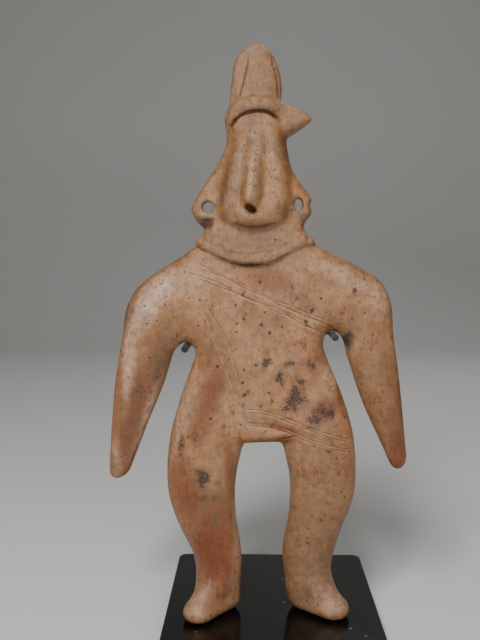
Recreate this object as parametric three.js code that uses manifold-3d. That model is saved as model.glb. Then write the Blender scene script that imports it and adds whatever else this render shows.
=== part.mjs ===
// A flat fired-clay figurine of a shaman, hung by its armpits on the two hooks of a small plate stand.
// Millimetres, +Z up, the figure faces -Y, and the origin is the centre of the plate's underside.

import * as THREE from 'three';
import { LoftGeometry } from 'three/addons/geometries/LoftGeometry.js';
import { mergeVertices } from 'three/addons/utils/BufferGeometryUtils.js';
import Module from 'manifold-3d';

// Stand
const PLATE_WIDTH = 101.6;
const PLATE_THICKNESS = 12;
const PLATE_CORNER = 4;
const PLATE_BEVEL = 0.6;
const ROD_RADIUS = 1;
const ROD_SEAT = 9;
const ROD_BEND = 4;
const SLEEVE_RADIUS = 1.7;
const SLEEVE_WALL = 0.45;
const SLEEVE_LENGTH = 17;
const HOOK_TIP = -9;
const GAP = 0.3;

// Where the figure stands on the plate, from the plate's centre, as shares of the plate's width
const FIGURE_X = -0.0689 * PLATE_WIDTH;
const FIGURE_Y = -0.1378 * PLATE_WIDTH;

// The figure's height sets its size: every table below is drawn for a figure as tall as its outline's highest
// point, and is brought to this height by sized().
const FIGURE_HEIGHT = 265.2;
const HORN_HALF_THICKNESS = 4.6;
const EDGE_ROUND = 9.5;
const EDGE_SHARE = 0.82;
const EDGE_RINGS = 3;
const BAND_RADIUS = 3.7;
const COLLAR_RADIUS = 2.8;
const GROOVE_RADIUS = 0.9;

// Thickness: half of it, front and back alike, at heights above the plate
const BODY_HALF_THICKNESS = [
  [0, 7.5], [15, 7.8], [35, 8.8], [60, 9.5], [90, 9.5], [150, 9.3], [165, 8.2], [178, 6.5],
  [187, 4.6], [212, 4.6], [226, 6.5], [245, 7.4], [258, 6.6], [266, 5],
];
const ARM_HALF_THICKNESS = [[64, 3.6], [80, 5], [105, 6.8], [130, 8.2], [150, 9.3], [170, 8.2]];
// Where the arms begin, [height, distance from the middle], and the horn, [x, z]
const ARM_START = [[64, 54.8], [165, 24.5]];
const HORN_START = [13, 220];

// The outline seen from the front, [x, z] from the figure's middle and the plate's top, one stretch after
// another down the figure's left side in the view and up its right side. Each stretch is one smooth curve,
// and the outline turns a corner where two stretches meet.
const OUTLINE = [
  { step: 3.5, points: [[-1, 265.2], [-6.6, 262.9], [-10.6, 257.4], [-12.3, 248.6], [-13.2, 239.4]] },
  { step: 3.5, points: [[-13.6, 237.4], [-15.3, 232.8], [-15, 227], [-14.8, 221.5]] },
  { step: 3.8, points: [[-14.8, 219.9], [-17.4, 213.5], [-29, 195.4], [-30.9, 190.8], [-28.9, 186.2]] },
  { step: 3.5, points: [[-27.6, 184.6], [-23.7, 181.8], [-25.2, 178], [-31.2, 172.5]] },
  { step: 5.4, points: [[-34.7, 170.1], [-45.8, 162.9], [-55.8, 155.2], [-61.4, 145.4], [-63.6, 132.2],
    [-67.1, 111.3], [-69.3, 88.2], [-70.6, 69.5]] },
  { step: 2.4, points: [[-70.5, 66.2], [-67.6, 63.9], [-62.4, 65.8]] },
  { step: 5.4, points: [[-60.4, 68.8], [-53, 88.2], [-43.7, 111.3], [-39.6, 124.4]] },
  { step: 2.4, points: [[-38.4, 126.6], [-34, 129.7], [-29.3, 126.6]] },
  { step: 5.4, points: [[-29.2, 122.7], [-36.1, 103.6], [-42.2, 80], [-42.5, 57.5], [-37.4, 41.4],
    [-30.8, 27], [-28.9, 13]] },
  { step: 5.4, points: [[-27.6, 6], [-10, 6]] },
  { step: 5.4, points: [[-8.2, 10], [-7.4, 27], [-10.3, 48], [-10.2, 65], [-7.6, 79]] },
  { step: 4.6, points: [[-6, 82.2], [11, 82.2]] },
  { step: 5.4, points: [[12.4, 79.4], [15.2, 65], [14.8, 49], [11.8, 30], [13.6, 10]] },
  { step: 5.4, points: [[16, 6], [33.6, 6]] },
  { step: 5.4, points: [[35.2, 13], [35.2, 23], [39.6, 40], [45.6, 57], [45.7, 80.4], [39.8, 103.6],
    [31.9, 122.7]] },
  { step: 2.4, points: [[30.2, 127.6], [30.7, 131.8], [33.6, 135.2], [37.2, 133.6], [40.6, 131.8], [42.2, 128.4]] },
  { step: 5.4, points: [[41.5, 122.7], [48.2, 103.6], [61.6, 73.6]] },
  { step: 2.4, points: [[63, 71], [66.4, 69.2], [69.8, 72.4]] },
  { step: 5.4, points: [[70, 76.5], [67.1, 103.6], [62.9, 134.1], [61.4, 148.4], [56.4, 158.4], [45.6, 165.4],
    [33.4, 171.6]] },
  { step: 3.5, points: [[27.9, 174.7], [22.4, 178.6], [20, 183.2]] },
  { step: 3.2, points: [[21.4, 185.6], [24, 188.9], [24.2, 191.2]] },
  { step: 3.2, points: [[23.5, 192.9], [24.4, 195], [22.5, 198.5], [15.3, 209], [12.6, 218.1], [12.3, 221.2]] },
  { step: 3.0, points: [[12.4, 222.6], [19.6, 227.1], [23.8, 231.4], [19.6, 235.6], [15.2, 237], [11.3, 238.4]] },
  { step: 3.5, points: [[10.1, 240.4], [10.6, 245.4], [8.9, 255.1], [4.4, 263], [1.4, 264.8]] },
];

// Head: the face stands out of the flaps as a long panel, [height, middle x, half width, front, back]
const FACE_SECTIONS = [
  [181, -2, 11, 6, 5], [183.4, -2.2, 13.6, 9.6, 5.5], [186.4, -2.2, 15.8, 11.2, 5.5],
  [190, -2, 16.9, 12.2, 5.5], [195, -1.7, 17, 12, 5.5], [201, -1.4, 16.2, 11.4, 5.5],
  [213.7, -1.3, 14, 10.6, 6], [227, -1.2, 11, 9.6, 7], [236, -1.2, 10.6, 8, 7.6],
];
// The pinched nose, [height, middle x, half width, front, back]
const NOSE_SECTIONS = [
  [191.6, -4, 2.4, 13.6, 2], [192.6, -4, 3.8, 16.4, 2], [195, -3.6, 4.5, 17.8, 2], [200, -3, 4.6, 17.2, 2],
  [207, -2.1, 4.3, 15.4, 2], [214, -1.2, 3.7, 13.2, 2], [221, -0.4, 2.8, 11.2, 2], [226, 0, 2, 9.6, 2],
];
const MOUTH = { at: [-3.3, -13.4, 189.9], half: [3.7, 5.5, 2.1] };
const MOUTH_TILT = 0.58;
const EAR_HOLES = [
  { at: [-23.1, 192], half: [3, 2.8] },
  { at: [18.3, 192.4], half: [2.2, 3.1] },
];
const CAP_GROOVES = [
  { from: [-4.6, -7.4, 255.5], to: [-9.2, -7.4, 240.6] },
  { from: [6, -6.4, 257], to: [9.1, -6.4, 241.6] },
];

// The coil round the brow, [x, y, z], and the rolled collar with its two knobs
const BAND = [
  [-12.2, 0, 229.2], [-10.6, -5.8, 232.2], [-6.4, -8.2, 235], [-0.4, -8.9, 236.2], [5.6, -8.1, 235.4],
  [9.2, -5.4, 233.6], [10.4, 0, 232], [6.6, 5, 232.4], [-1.2, 6, 233], [-9, 5.2, 231.6],
];
const COLLAR = [
  [-25.9, -5.6, 176.4], [-22.4, -7, 172.6], [-17.2, -8.4, 169.7], [-10.6, -9.2, 168.3],
  [-3.4, -9.6, 168], [4.4, -9.4, 169], [10.6, -8.8, 171.2], [16.6, -7.6, 174.2], [21, -6.2, 176.8],
];
const KNOBS = [
  { at: [-25.9, -5.6, 176.4], half: [2.7, 2.8, 2.6], tilt: 0 },
  { at: [22, -5.8, 177.2], half: [4.3, 3, 2.6], tilt: 0.4 },
];
// The neck widens downwards to the collar, [height, middle x, half width, front, back]
const NECK_SECTIONS = [
  [167.6, -3.4, 12, 10.6, 7], [171, -2.6, 18, 10.4, 7], [176, -2, 22, 9, 6.6], [182, -2, 20.8, 7.2, 6],
  [186, -2, 19, 5.6, 5],
];

// The pad of the loincloth between the thighs
const PAD = { at: [4.6, -5.4, 87.4], half: [13.6, 6.6, 5] };

// Feet: the sole runs from the heel outwards to the toe, each [x, y, radius]; the leg comes down on its heel
// end with an oval ankle, [x, y, half width, half depth]
const FEET = [
  { heel: [-16.6, 1.4, 8], toe: [-27.2, -11.6, 7], ankle: [-18, 0.2, 10.4, 7.6] },
  { heel: [23.2, 2.6, 8], toe: [35.4, -7, 7], ankle: [24, 0.6, 10.4, 7.6] },
];
// [height, how far the section has gone over from the sole to the ankle, its size]
const FOOT_LEVELS = [
  [0, 0, 0.92], [1.2, 0, 1], [3.2, 0.04, 1.01], [6, 0.22, 1], [9.5, 0.55, 1], [13.5, 0.84, 1], [19, 1, 0.97],
];

// Each hook lies under an armpit, [x, z], and its rod goes straight up behind the figure, [x, y]
const HOOKS = [
  { side: 'left', armpit: [-33.4, 129.7], upright: [-20, 13.5] },
  { side: 'right', armpit: [35, 135.1], upright: [23, 13.5] },
];

function clayMaterial() {
  return new THREE.MeshStandardMaterial({ color: 0xb88d70, roughness: 0.62, metalness: 0 });
}

function plateMaterial() {
  return new THREE.MeshStandardMaterial({ color: 0x0a0a0b, roughness: 0.12, metalness: 0 });
}

function rodMaterial() {
  return new THREE.MeshStandardMaterial({ color: 0x1b1b1d, roughness: 0.45, metalness: 0.6 });
}

function sleeveMaterial() {
  return new THREE.MeshStandardMaterial({ color: 0x7d8185, roughness: 0.4, metalness: 0 });
}

// A table, or rows of one, at the figure's real size
function sized(table) {
  const drawnHeight = Math.max(...OUTLINE.flatMap(({ points }) => points.map(([, z]) => z)));
  if (Array.isArray(table)) {
    return table.map(sized);
  }
  return (table * FIGURE_HEIGHT) / drawnHeight;
}

// A value read off a row of [place, value] stations, straight between them
function along(stations, place) {
  const next = stations.findIndex((station) => station[0] > place);
  if (next === 0) {
    return stations[0][1];
  }
  if (next < 0) {
    return stations[stations.length - 1][1];
  }
  const [from, low] = stations[next - 1];
  const [to, high] = stations[next];
  return THREE.MathUtils.mapLinear(place, from, to, low, high);
}

function halfThickness(x, z) {
  const [, shoulder] = sized(ARM_START);
  if (z < shoulder[0] && Math.abs(x) > along(sized(ARM_START), z)) {
    return along(sized(ARM_HALF_THICKNESS), z);
  }
  const [hornX, hornZ] = sized(HORN_START);
  if (z > hornZ && x > hornX) {
    return HORN_HALF_THICKNESS;
  }
  return along(sized(BODY_HALF_THICKNESS), z);
}

// The outline's points, anticlockwise seen from the front
function outlinePoints() {
  return OUTLINE.flatMap(({ step, points }) => {
    const corners = sized(points).map(([x, z]) => new THREE.Vector3(x, 0, z));
    const curve = new THREE.CatmullRomCurve3(corners, false, 'centripetal');
    return curve.getSpacedPoints(Math.max(1, Math.round(curve.getLength() / step)));
  });
}

function inwardNormals(ring) {
  return ring.map((point, i) => {
    const before = ring.at(i - 1);
    const after = ring[(i + 1) % ring.length];
    const run = after.clone().sub(before).normalize();
    return new THREE.Vector3(-run.z, 0, run.x);
  });
}

// How far in from each point the edge stays round: a share of the widest circle that touches the outline
// there and crosses it nowhere, evened out along the outline
function edgeWidths(ring, normals) {
  let widths = ring.map((point, i) => {
    let radius = EDGE_ROUND / EDGE_SHARE;
    for (const other of ring) {
      const reach = other.clone().sub(point);
      const inward = reach.dot(normals[i]);
      if (inward > 1e-3) {
        radius = Math.min(radius, reach.lengthSq() / (2 * inward));
      }
    }
    return Math.min(EDGE_ROUND, radius * EDGE_SHARE);
  });
  for (let pass = 0; pass < 3; pass += 1) {
    widths = widths.map((width, i) => {
      const before = widths.at(i - 1);
      const after = widths[(i + 1) % widths.length];
      return Math.min(width, (before + 2 * width + after) / 4);
    });
  }
  return widths;
}

// The flat body with its round edge: rings that move in from the outline as they rise to the front and back
function bodySheet() {
  const ring = outlinePoints();
  const normals = inwardNormals(ring);
  const widths = edgeWidths(ring, normals);
  const rings = [];
  for (let k = -EDGE_RINGS; k <= EDGE_RINGS; k += 1) {
    const turn = (Math.PI / 2) * (k / EDGE_RINGS);
    rings.push(ring.map((point, i) => {
      const inner = point.clone().addScaledVector(normals[i], widths[i]);
      const place = point.clone().lerp(inner, 1 - Math.cos(turn));
      place.y = -Math.sin(turn) * halfThickness(point.x, point.z);
      return place;
    }));
  }
  return new LoftGeometry(rings, { capStart: true, capEnd: true });
}

// A level section like a rounded box: half widths across, to the front and to the back
function levelSection(height, middle, halfWidth, front, back, sides = 22, squareness = 0.72) {
  const section = [];
  for (let i = 0; i < sides; i += 1) {
    const turn = (2 * Math.PI * i) / sides;
    const across = Math.cos(turn);
    const depth = Math.sin(turn);
    const reach = depth > 0 ? back : front;
    section.push(new THREE.Vector3(
      middle + halfWidth * Math.sign(across) * Math.abs(across) ** squareness,
      reach * Math.sign(depth) * Math.abs(depth) ** squareness,
      height,
    ));
  }
  return section;
}

function face() {
  const sections = sized(FACE_SECTIONS).map((row) => levelSection(...row));
  return new LoftGeometry(sections, { capStart: true, capEnd: true });
}

function neck() {
  const sections = sized(NECK_SECTIONS).map((row) => levelSection(...row));
  return new LoftGeometry(sections, { capStart: true, capEnd: true });
}

function nose() {
  const sections = sized(NOSE_SECTIONS).map((row) => levelSection(...row, 12, 1));
  return new LoftGeometry(sections, { capStart: true, capEnd: true });
}

// A round coil swept along a path; a closed one ends where it starts
function coil(path, radius, steps, sides, closed) {
  const frames = path.computeFrenetFrames(steps, closed);
  const sections = [];
  for (let i = 0; i <= steps; i += 1) {
    const last = closed && i === steps;
    const place = path.getPointAt(last ? 0 : i / steps);
    const index = last ? 0 : i;
    const section = [];
    for (let j = 0; j < sides; j += 1) {
      const turn = (2 * Math.PI * j) / sides;
      section.push(place.clone()
        .addScaledVector(frames.normals[index], radius * Math.cos(turn))
        .addScaledVector(frames.binormals[index], radius * Math.sin(turn)));
    }
    sections.push(section);
  }
  return new LoftGeometry(sections, { capStart: !closed, capEnd: !closed });
}

function vectors(places) {
  return places.map(([x, y, z]) => new THREE.Vector3(x, y, z));
}

function band() {
  const path = new THREE.CatmullRomCurve3(vectors(sized(BAND)), true, 'centripetal');
  return coil(path, BAND_RADIUS, 32, 10, true);
}

function collar() {
  const path = new THREE.CatmullRomCurve3(vectors(sized(COLLAR)), false, 'centripetal');
  return coil(path, COLLAR_RADIUS, 22, 10, false);
}

function ball({ at, half }, tilt = 0) {
  const geometry = new THREE.SphereGeometry(1, 14, 10);
  geometry.scale(...sized(half));
  geometry.rotateY(tilt);
  geometry.translate(...sized(at));
  return geometry;
}

function earHole({ at, half }) {
  const [x, z] = sized(at);
  const [halfWidth, halfHeight] = sized(half);
  const geometry = new THREE.CylinderGeometry(1, 1, FIGURE_HEIGHT / 6, 16);
  geometry.scale(halfWidth, 1, halfHeight);
  geometry.translate(x, 0, z);
  return geometry;
}

function capGroove({ from, to }) {
  const [start, end] = vectors(sized([from, to]));
  return coil(new THREE.LineCurve3(start, end), GROOVE_RADIUS, 1, 8, false);
}

// The plan of a foot as a ring of points: a heel circle and a toe circle with straight sides
function solePoint(heel, toe, turn) {
  const heelPlace = new THREE.Vector2(heel[0], heel[1]);
  const toePlace = new THREE.Vector2(toe[0], toe[1]);
  const out = new THREE.Vector2(Math.cos(turn), Math.sin(turn));
  const forward = toePlace.clone().sub(heelPlace).dot(out) + toe[2] > heel[2];
  return forward ? toePlace.addScaledVector(out, toe[2]) : heelPlace.addScaledVector(out, heel[2]);
}

function footForm(foot) {
  const sides = 22;
  const [heel, toe, ankle] = sized([foot.heel, foot.toe, foot.ankle]);
  const anklePlace = new THREE.Vector2(ankle[0], ankle[1]);
  const middle = new THREE.Vector2((heel[0] + toe[0]) / 2, (heel[1] + toe[1]) / 2);
  const sections = FOOT_LEVELS.map(([height, over, size]) => {
    const section = [];
    for (let i = 0; i < sides; i += 1) {
      const turn = (2 * Math.PI * i) / sides;
      const sole = solePoint(heel, toe, turn);
      const leg = new THREE.Vector2(Math.cos(turn) * ankle[2], Math.sin(turn) * ankle[3]).add(anklePlace);
      const centre = middle.clone().lerp(anklePlace, over);
      const place = sole.lerp(leg, over).sub(centre).multiplyScalar(size).add(centre);
      section.push(new THREE.Vector3(place.x, place.y, GAP + sized(height)));
    }
    return section;
  });
  return new LoftGeometry(sections, { capStart: true, capEnd: true });
}

// Straight stretches joined by round bends
function bentPath(places, bend) {
  const path = new THREE.CurvePath();
  let start = places[0];
  for (let i = 1; i < places.length - 1; i += 1) {
    const corner = places[i];
    const into = corner.clone().sub(places[i - 1]).setLength(bend);
    const away = places[i + 1].clone().sub(corner).setLength(bend);
    const bendStart = corner.clone().sub(into);
    const bendEnd = corner.clone().add(away);
    path.add(new THREE.LineCurve3(start, bendStart));
    path.add(new THREE.QuadraticBezierCurve3(bendStart, corner, bendEnd));
    start = bendEnd;
  }
  path.add(new THREE.LineCurve3(start, places[places.length - 1]));
  return path;
}

// The height of a hook's middle: its sleeve lies two gaps under the top of the armpit
function hookHeight({ armpit }) {
  return sized(armpit[1]) - SLEEVE_RADIUS - 2 * GAP;
}

function rod(hook) {
  const x = sized(hook.armpit[0]);
  const z = hookHeight(hook);
  const [uprightX, uprightY] = sized(hook.upright);
  const places = vectors([
    [uprightX, uprightY, GAP - ROD_SEAT],
    [uprightX, uprightY, z],
    [x, uprightY, z],
    [x, HOOK_TIP, z],
  ]);
  return coil(bentPath(places, ROD_BEND), ROD_RADIUS, 40, 12, false);
}

function sleeve(hook) {
  const ring = new THREE.Shape();
  ring.absarc(0, 0, SLEEVE_RADIUS, 0, 2 * Math.PI, false);
  const bore = new THREE.Path();
  bore.absarc(0, 0, SLEEVE_RADIUS - SLEEVE_WALL, 0, 2 * Math.PI, true);
  ring.holes.push(bore);
  const geometry = new THREE.ExtrudeGeometry(ring, { depth: SLEEVE_LENGTH, bevelEnabled: false, curveSegments: 12 });
  geometry.rotateX(-Math.PI / 2);
  geometry.translate(sized(hook.armpit[0]), HOOK_TIP - GAP, hookHeight(hook));
  return geometry;
}

function plateOutline() {
  const half = PLATE_WIDTH / 2 - PLATE_BEVEL;
  const straight = half - PLATE_CORNER;
  const shape = new THREE.Shape();
  shape.moveTo(straight, -half);
  shape.absarc(straight, -straight, PLATE_CORNER, -Math.PI / 2, 0, false);
  shape.absarc(straight, straight, PLATE_CORNER, 0, Math.PI / 2, false);
  shape.absarc(-straight, straight, PLATE_CORNER, Math.PI / 2, Math.PI, false);
  shape.absarc(-straight, -straight, PLATE_CORNER, Math.PI, 1.5 * Math.PI, false);
  return shape;
}

function plate() {
  const geometry = new THREE.ExtrudeGeometry(plateOutline(), {
    depth: PLATE_THICKNESS - 2 * PLATE_BEVEL,
    bevelThickness: PLATE_BEVEL,
    bevelSize: PLATE_BEVEL,
    bevelSegments: 2,
    curveSegments: 6,
  });
  geometry.translate(0, 0, PLATE_BEVEL);
  return geometry;
}

function rodSeat({ upright }) {
  const [x, y] = sized(upright);
  const geometry = new THREE.CylinderGeometry(ROD_RADIUS + GAP, ROD_RADIUS + GAP, 2 * ROD_SEAT, 16);
  geometry.rotateX(Math.PI / 2);
  geometry.translate(FIGURE_X + x, FIGURE_Y + y, PLATE_THICKNESS);
  return geometry;
}

const wasm = await Module();
wasm.setup();

// The same surface with positions alone and its shared points merged
function bare(geometry) {
  const surface = new THREE.BufferGeometry();
  surface.setAttribute('position', geometry.attributes.position);
  surface.setIndex(geometry.index);
  return mergeVertices(surface, 1e-4);
}

function toSolid(geometry) {
  const merged = bare(geometry);
  return new wasm.Manifold(new wasm.Mesh({
    numProp: 3,
    vertProperties: new Float32Array(merged.attributes.position.array),
    triVerts: new Uint32Array(merged.index.array),
  }));
}

function toGeometry(solid) {
  const mesh = solid.getMesh();
  const geometry = new THREE.BufferGeometry();
  geometry.setAttribute('position', new THREE.BufferAttribute(new Float32Array(mesh.vertProperties), 3));
  geometry.setIndex(new THREE.BufferAttribute(new Uint32Array(mesh.triVerts), 1));
  return geometry;
}

function combine(joined, cut) {
  let solid = toSolid(joined[0]);
  for (const geometry of joined.slice(1)) {
    solid = solid.add(toSolid(geometry));
  }
  for (const geometry of cut) {
    solid = solid.subtract(toSolid(geometry));
  }
  return toGeometry(solid);
}

function figurine() {
  const knobs = KNOBS.map((knob) => ball(knob, knob.tilt));
  const limbs = [...FEET.map(footForm), ball(PAD)];
  const joined = [bodySheet(), face(), nose(), neck(), band(), collar(), ...knobs, ...limbs];
  const cut = [...EAR_HOLES.map(earHole), ball(MOUTH, MOUTH_TILT), ...CAP_GROOVES.map(capGroove)];
  return combine(joined, cut);
}

function named(name, geometry, material) {
  const mesh = new THREE.Mesh(bare(geometry), material);
  mesh.name = name;
  return mesh;
}

const part = new THREE.Group();
const raised = new THREE.Group();
raised.position.set(FIGURE_X, FIGURE_Y, PLATE_THICKNESS);
raised.add(named('figurine', figurine(), clayMaterial()));
for (const hook of HOOKS) {
  raised.add(named(`stand_rod_${hook.side}`, rod(hook), rodMaterial()));
  raised.add(named(`hook_sleeve_${hook.side}`, sleeve(hook), sleeveMaterial()));
}
part.add(raised);
part.add(named('stand_plate', combine([plate()], HOOKS.map(rodSeat)), plateMaterial()));

export default part;
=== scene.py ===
"""A flat figurine of burnished clay that hangs by its armpits on a small plate stand.

The figure's own tables are in millimetres: x from its middle line, y from its middle plane (the front is
negative) and z from the top of the plate. The scene is in metres, in the part's frame."""

import math

import bpy
import numpy as np
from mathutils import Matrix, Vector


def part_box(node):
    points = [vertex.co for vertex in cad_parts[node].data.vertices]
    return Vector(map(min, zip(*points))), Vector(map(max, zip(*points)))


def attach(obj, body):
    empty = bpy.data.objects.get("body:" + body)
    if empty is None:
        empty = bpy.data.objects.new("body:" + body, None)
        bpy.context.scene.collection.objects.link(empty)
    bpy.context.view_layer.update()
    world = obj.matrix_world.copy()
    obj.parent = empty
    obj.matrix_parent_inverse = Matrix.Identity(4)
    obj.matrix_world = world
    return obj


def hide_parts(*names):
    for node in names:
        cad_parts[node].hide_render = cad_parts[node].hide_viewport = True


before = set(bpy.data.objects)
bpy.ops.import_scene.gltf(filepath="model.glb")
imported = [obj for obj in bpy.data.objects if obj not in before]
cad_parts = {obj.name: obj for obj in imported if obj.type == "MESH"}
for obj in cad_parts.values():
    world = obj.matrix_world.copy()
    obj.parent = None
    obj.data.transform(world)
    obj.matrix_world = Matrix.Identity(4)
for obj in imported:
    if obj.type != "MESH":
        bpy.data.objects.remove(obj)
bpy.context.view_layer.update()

# Places and fineness
MM = 0.001
FIGURE_X = -7.0
FIGURE_Y = -14.0
PLATE_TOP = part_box("stand_plate")[1][2] / MM
GAP = 0.3
CELL = 0.96
OUTLINE_STEP = 1.6
LINE_STEP = 0.6
ROLL_STEP = 2
RELAX_PASSES = 3
SPLIT_REACHES = (1.4, 0.8)
# The grid's reach across, in depth and in height
GRID_X = (-73, 73)
GRID_Y = (-21, 13)
GRID_Z = (-1, 268)
# The feet are joined on below one height and the head above the other
FEET_TOP = 32
HEAD_START = 158

# The photograph's view: pinhole length in picture heights, and the camera's place from the plate's top
PICTURE_HEIGHT = 640.0
LENS_PIXELS = 750.0
SENSOR = 36.0
CAMERA_PLACE = (-8.9, -361.7, 173.3)
CAMERA_PITCH = math.radians(5.48)
CAMERA_YAW = math.radians(1.07)

# The outline seen from the front, one smooth stretch after another, down the left side of the view and up
# the right
OUTLINE = [
    [(-1, 265.2), (-6.6, 262.9), (-10.6, 257.4), (-12.3, 248.6), (-13.2, 239.4)],
    [(-13.4, 237.6), (-15.2, 233.2), (-15.4, 229.4), (-14.7, 226.2), (-14.5, 221.5)],
    [(-14.8, 219.9), (-17.4, 213.5), (-29, 195.4), (-30.9, 190.8), (-28.9, 186.2)],
    [(-27.6, 184.6), (-23.7, 181.8), (-25.2, 178), (-31.2, 172.5)],
    [(-34.7, 170.1), (-45.8, 162.9), (-55.8, 155.2), (-61.4, 145.4), (-63.6, 132.2), (-67.1, 111.3),
     (-69.3, 88.2), (-70.6, 69.5)],
    [(-70.5, 66.2), (-67.6, 63.9), (-62.4, 65.8)],
    [(-60.4, 68.8), (-53, 88.2), (-43.7, 111.3), (-39.6, 124.4)],
    [(-38.4, 126.6), (-34, 129.7), (-29.3, 126.6)],
    [(-29.2, 122.7), (-36.1, 103.6), (-42.2, 80), (-42.5, 57.5), (-37.4, 41.4), (-30.8, 27), (-28.9, 13)],
    [(-27.6, 6), (-10, 6)],
    [(-8.2, 10), (-7.4, 27), (-10.3, 48), (-10.2, 65), (-7.6, 79)],
    [(-6, 82.2), (11, 82.2)],
    [(12.4, 79.4), (15.2, 65), (14.8, 49), (11.8, 30), (13.6, 10)],
    [(16, 6), (33.6, 6)],
    [(35.2, 13), (35.2, 23), (39.6, 40), (45.6, 57), (45.7, 80.4), (39.8, 103.6), (31.9, 122.7)],
    [(30.2, 127.6), (30.7, 131.8), (33.6, 135.2), (36.8, 134.2), (39.2, 131.4), (40.4, 127.4)],
    [(41.5, 122.7), (48.2, 103.6), (61.6, 73.6)],
    [(63, 71), (66.4, 69.2), (69.8, 72.4)],
    [(70, 76.5), (67.1, 103.6), (62.9, 134.1), (61.4, 148.4), (56.4, 158.4), (45.6, 165.4), (33.4, 171.6)],
    [(27.9, 174.7), (22.4, 178.6), (20, 183.2)],
    [(21.6, 185.6), (24.4, 188.7), (24.6, 191.3)],
    [(23.2, 192.9), (24.7, 194.8), (22.7, 198.5), (15.3, 209), (12.6, 218.1), (12.3, 221.2)],
    [(12.4, 222.6), (19.8, 227), (24.5, 231.4), (19.8, 235.7), (15.2, 237), (11.3, 238.4)],
    [(10.1, 240.4), (10.6, 245.4), (8.9, 255.1), (4.4, 263), (1.4, 264.8)],
]

# Half the thickness and the width of the round edge, each by height
BODY_HALF = [
    (0, 7.5), (15, 7.8), (35, 8.8), (60, 9.5), (90, 9.5), (150, 9.3), (165, 8.2), (178, 6.5), (187, 4.6),
    (212, 4.6), (226, 6.5), (245, 7.4), (258, 6.6), (266, 5),
]
ARM_HALF = [(64, 3.6), (80, 5), (105, 6.8), (130, 8.2), (150, 9.3), (170, 8.2)]
HORN_HALF = [(11, 7.4), (16, 5.6), (24, 3.4)]
BODY_EDGE = [
    (0, 9.5), (20, 10.5), (50, 14.5), (80, 15), (150, 15), (165, 11), (180, 5), (187, 4.2), (212, 4),
    (222, 7), (240, 10), (266, 10),
]
ARM_EDGE = [(64, 3.8), (80, 6.4), (100, 9.6), (125, 12.5), (150, 14), (170, 11)]
HORN_EDGE = 4.4

# The head, by height: middle, half width, reach to the front and to the back
FACE_MIDDLE = [(181, -2.2), (188, -2.2), (194, -1.5), (203, -1.2), (211, -0.6), (221, 0), (236, -0.6)]
FACE_WIDTH = [(181, 15.4), (184, 16.6), (188, 17.3), (194, 17.2), (203, 16.2), (211, 14.2), (221, 12),
              (238, 11)]
FACE_FRONT = [
    (181.4, 5.5), (182.4, 8.6), (184, 10.8), (187, 12), (192, 12.2), (201, 11.4), (213.7, 10.6), (227, 10),
    (232, 9.6), (238, 8),
]
FACE_BACK = [(178, 4), (186, 5.5), (201, 5.5), (214, 6), (227, 7), (238, 7.4)]
FACE_ENDS = (182, 237)
JAW = {"middle": -2.2, "half_width": 16.7, "rise": 4.6, "power": 3.2, "most": 1.8, "fade": (187, 200)}
NOSE_CHANNEL = {"gap": 1.0, "width": 2.1, "depth": 0.8, "low": (189, 196), "high": (211, 225)}
LIP = {"place": (-3.4, 186.2), "half": (5.5, 2.4), "rise": 0.9}
# The power of the rounded boxes that are the level sections of the face and the neck
SQUARENESS = 2.4
# The neck flares forward down to the collar, whose line hangs lower in the middle than at the sides
NECK_WIDTH = [(165, 13), (168, 17), (171, 20), (176, 23), (182, 21), (187, 18)]
NECK_FRONT = [
    (166, 8.4), (168.8, 9.4), (171, 8.7), (173.2, 7.4), (176, 6.1), (179, 5.5), (183, 5.8), (188, 6.2),
]
NECK_ENDS = (168, 187)
NECK_MIDDLE = -2.4
NECK_BACK = 4.0
COLLAR_LINE = {"middle": -3.2, "half_width": 22, "rise": 7.6, "most": 1.4}
NOSE_TOP = (-0.7, -8.2, 219.5)
NOSE_TIP = (-3.2, -12.7, 196.0)
NOSE_RADII = (2.1, 3.7)
MOUTH = {"place": (-3.5, -12.6, 190.6), "half": (3.3, 6.0, 1.7), "tilt": 0.58}
EAR_HOLES = [((-22.9, 191.8), (2.9, 2.65)), ((18.3, 192.9), (2.05, 3.2))]
# The ear flap on the left of the view ends in an edge, and its side below that lies further back
EAR_FOLD = {"edge_z": 185.7, "middle_x": -24, "sag": 0.05, "neck_x": -19.9, "neck_lean": 0.58,
            "depth_y": 2.9, "bottom_z": 180.5}

# Coils of clay laid on: the band round the brow and the rolled collar, each with its radius
BAND = [
    (-11.4, 0, 230.2), (-10.3, -5.2, 232.4), (-6.6, -7.6, 235.4), (-0.4, -8.4, 236.6), (5.4, -7.6, 235.9),
    (9.4, -4.6, 234.2), (10.2, 0, 232), (6.6, 5, 232.4), (-1.2, 6, 233), (-9, 5.2, 231.6),
]
BAND_RADIUS = 3.8
COLLAR = [
    (-23.4, -6.4, 173.8), (-19, -7.8, 172.2), (-14.6, -8.8, 170.1), (-7.4, -9.6, 168.5),
    (-0.8, -9.7, 168.5), (5.2, -9.4, 169.4), (10.6, -8.6, 171.7), (14, -7.6, 173.7), (18, -6.6, 175),
    (21.4, -5.6, 176.8),
]
COLLAR_RADIUS = 2.45
KNOBS = [
    ((-25.9, -5.0, 176.1), (2.7, 4.2, 2.9), 0.2), ((20.0, -6.2, 177.6), (2.5, 3.1, 2.7), 0.4),
    ((23.7, -5.0, 176.3), (2.1, 2.9, 2.1), 0.3),
]
# The pad of the loincloth is a short roll, [place, radius] at either end
PAD_ENDS = [((-5.4, -5.7, 87.6), 4.5), ((13.6, -5.3, 87.4), 3.5)]

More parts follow.
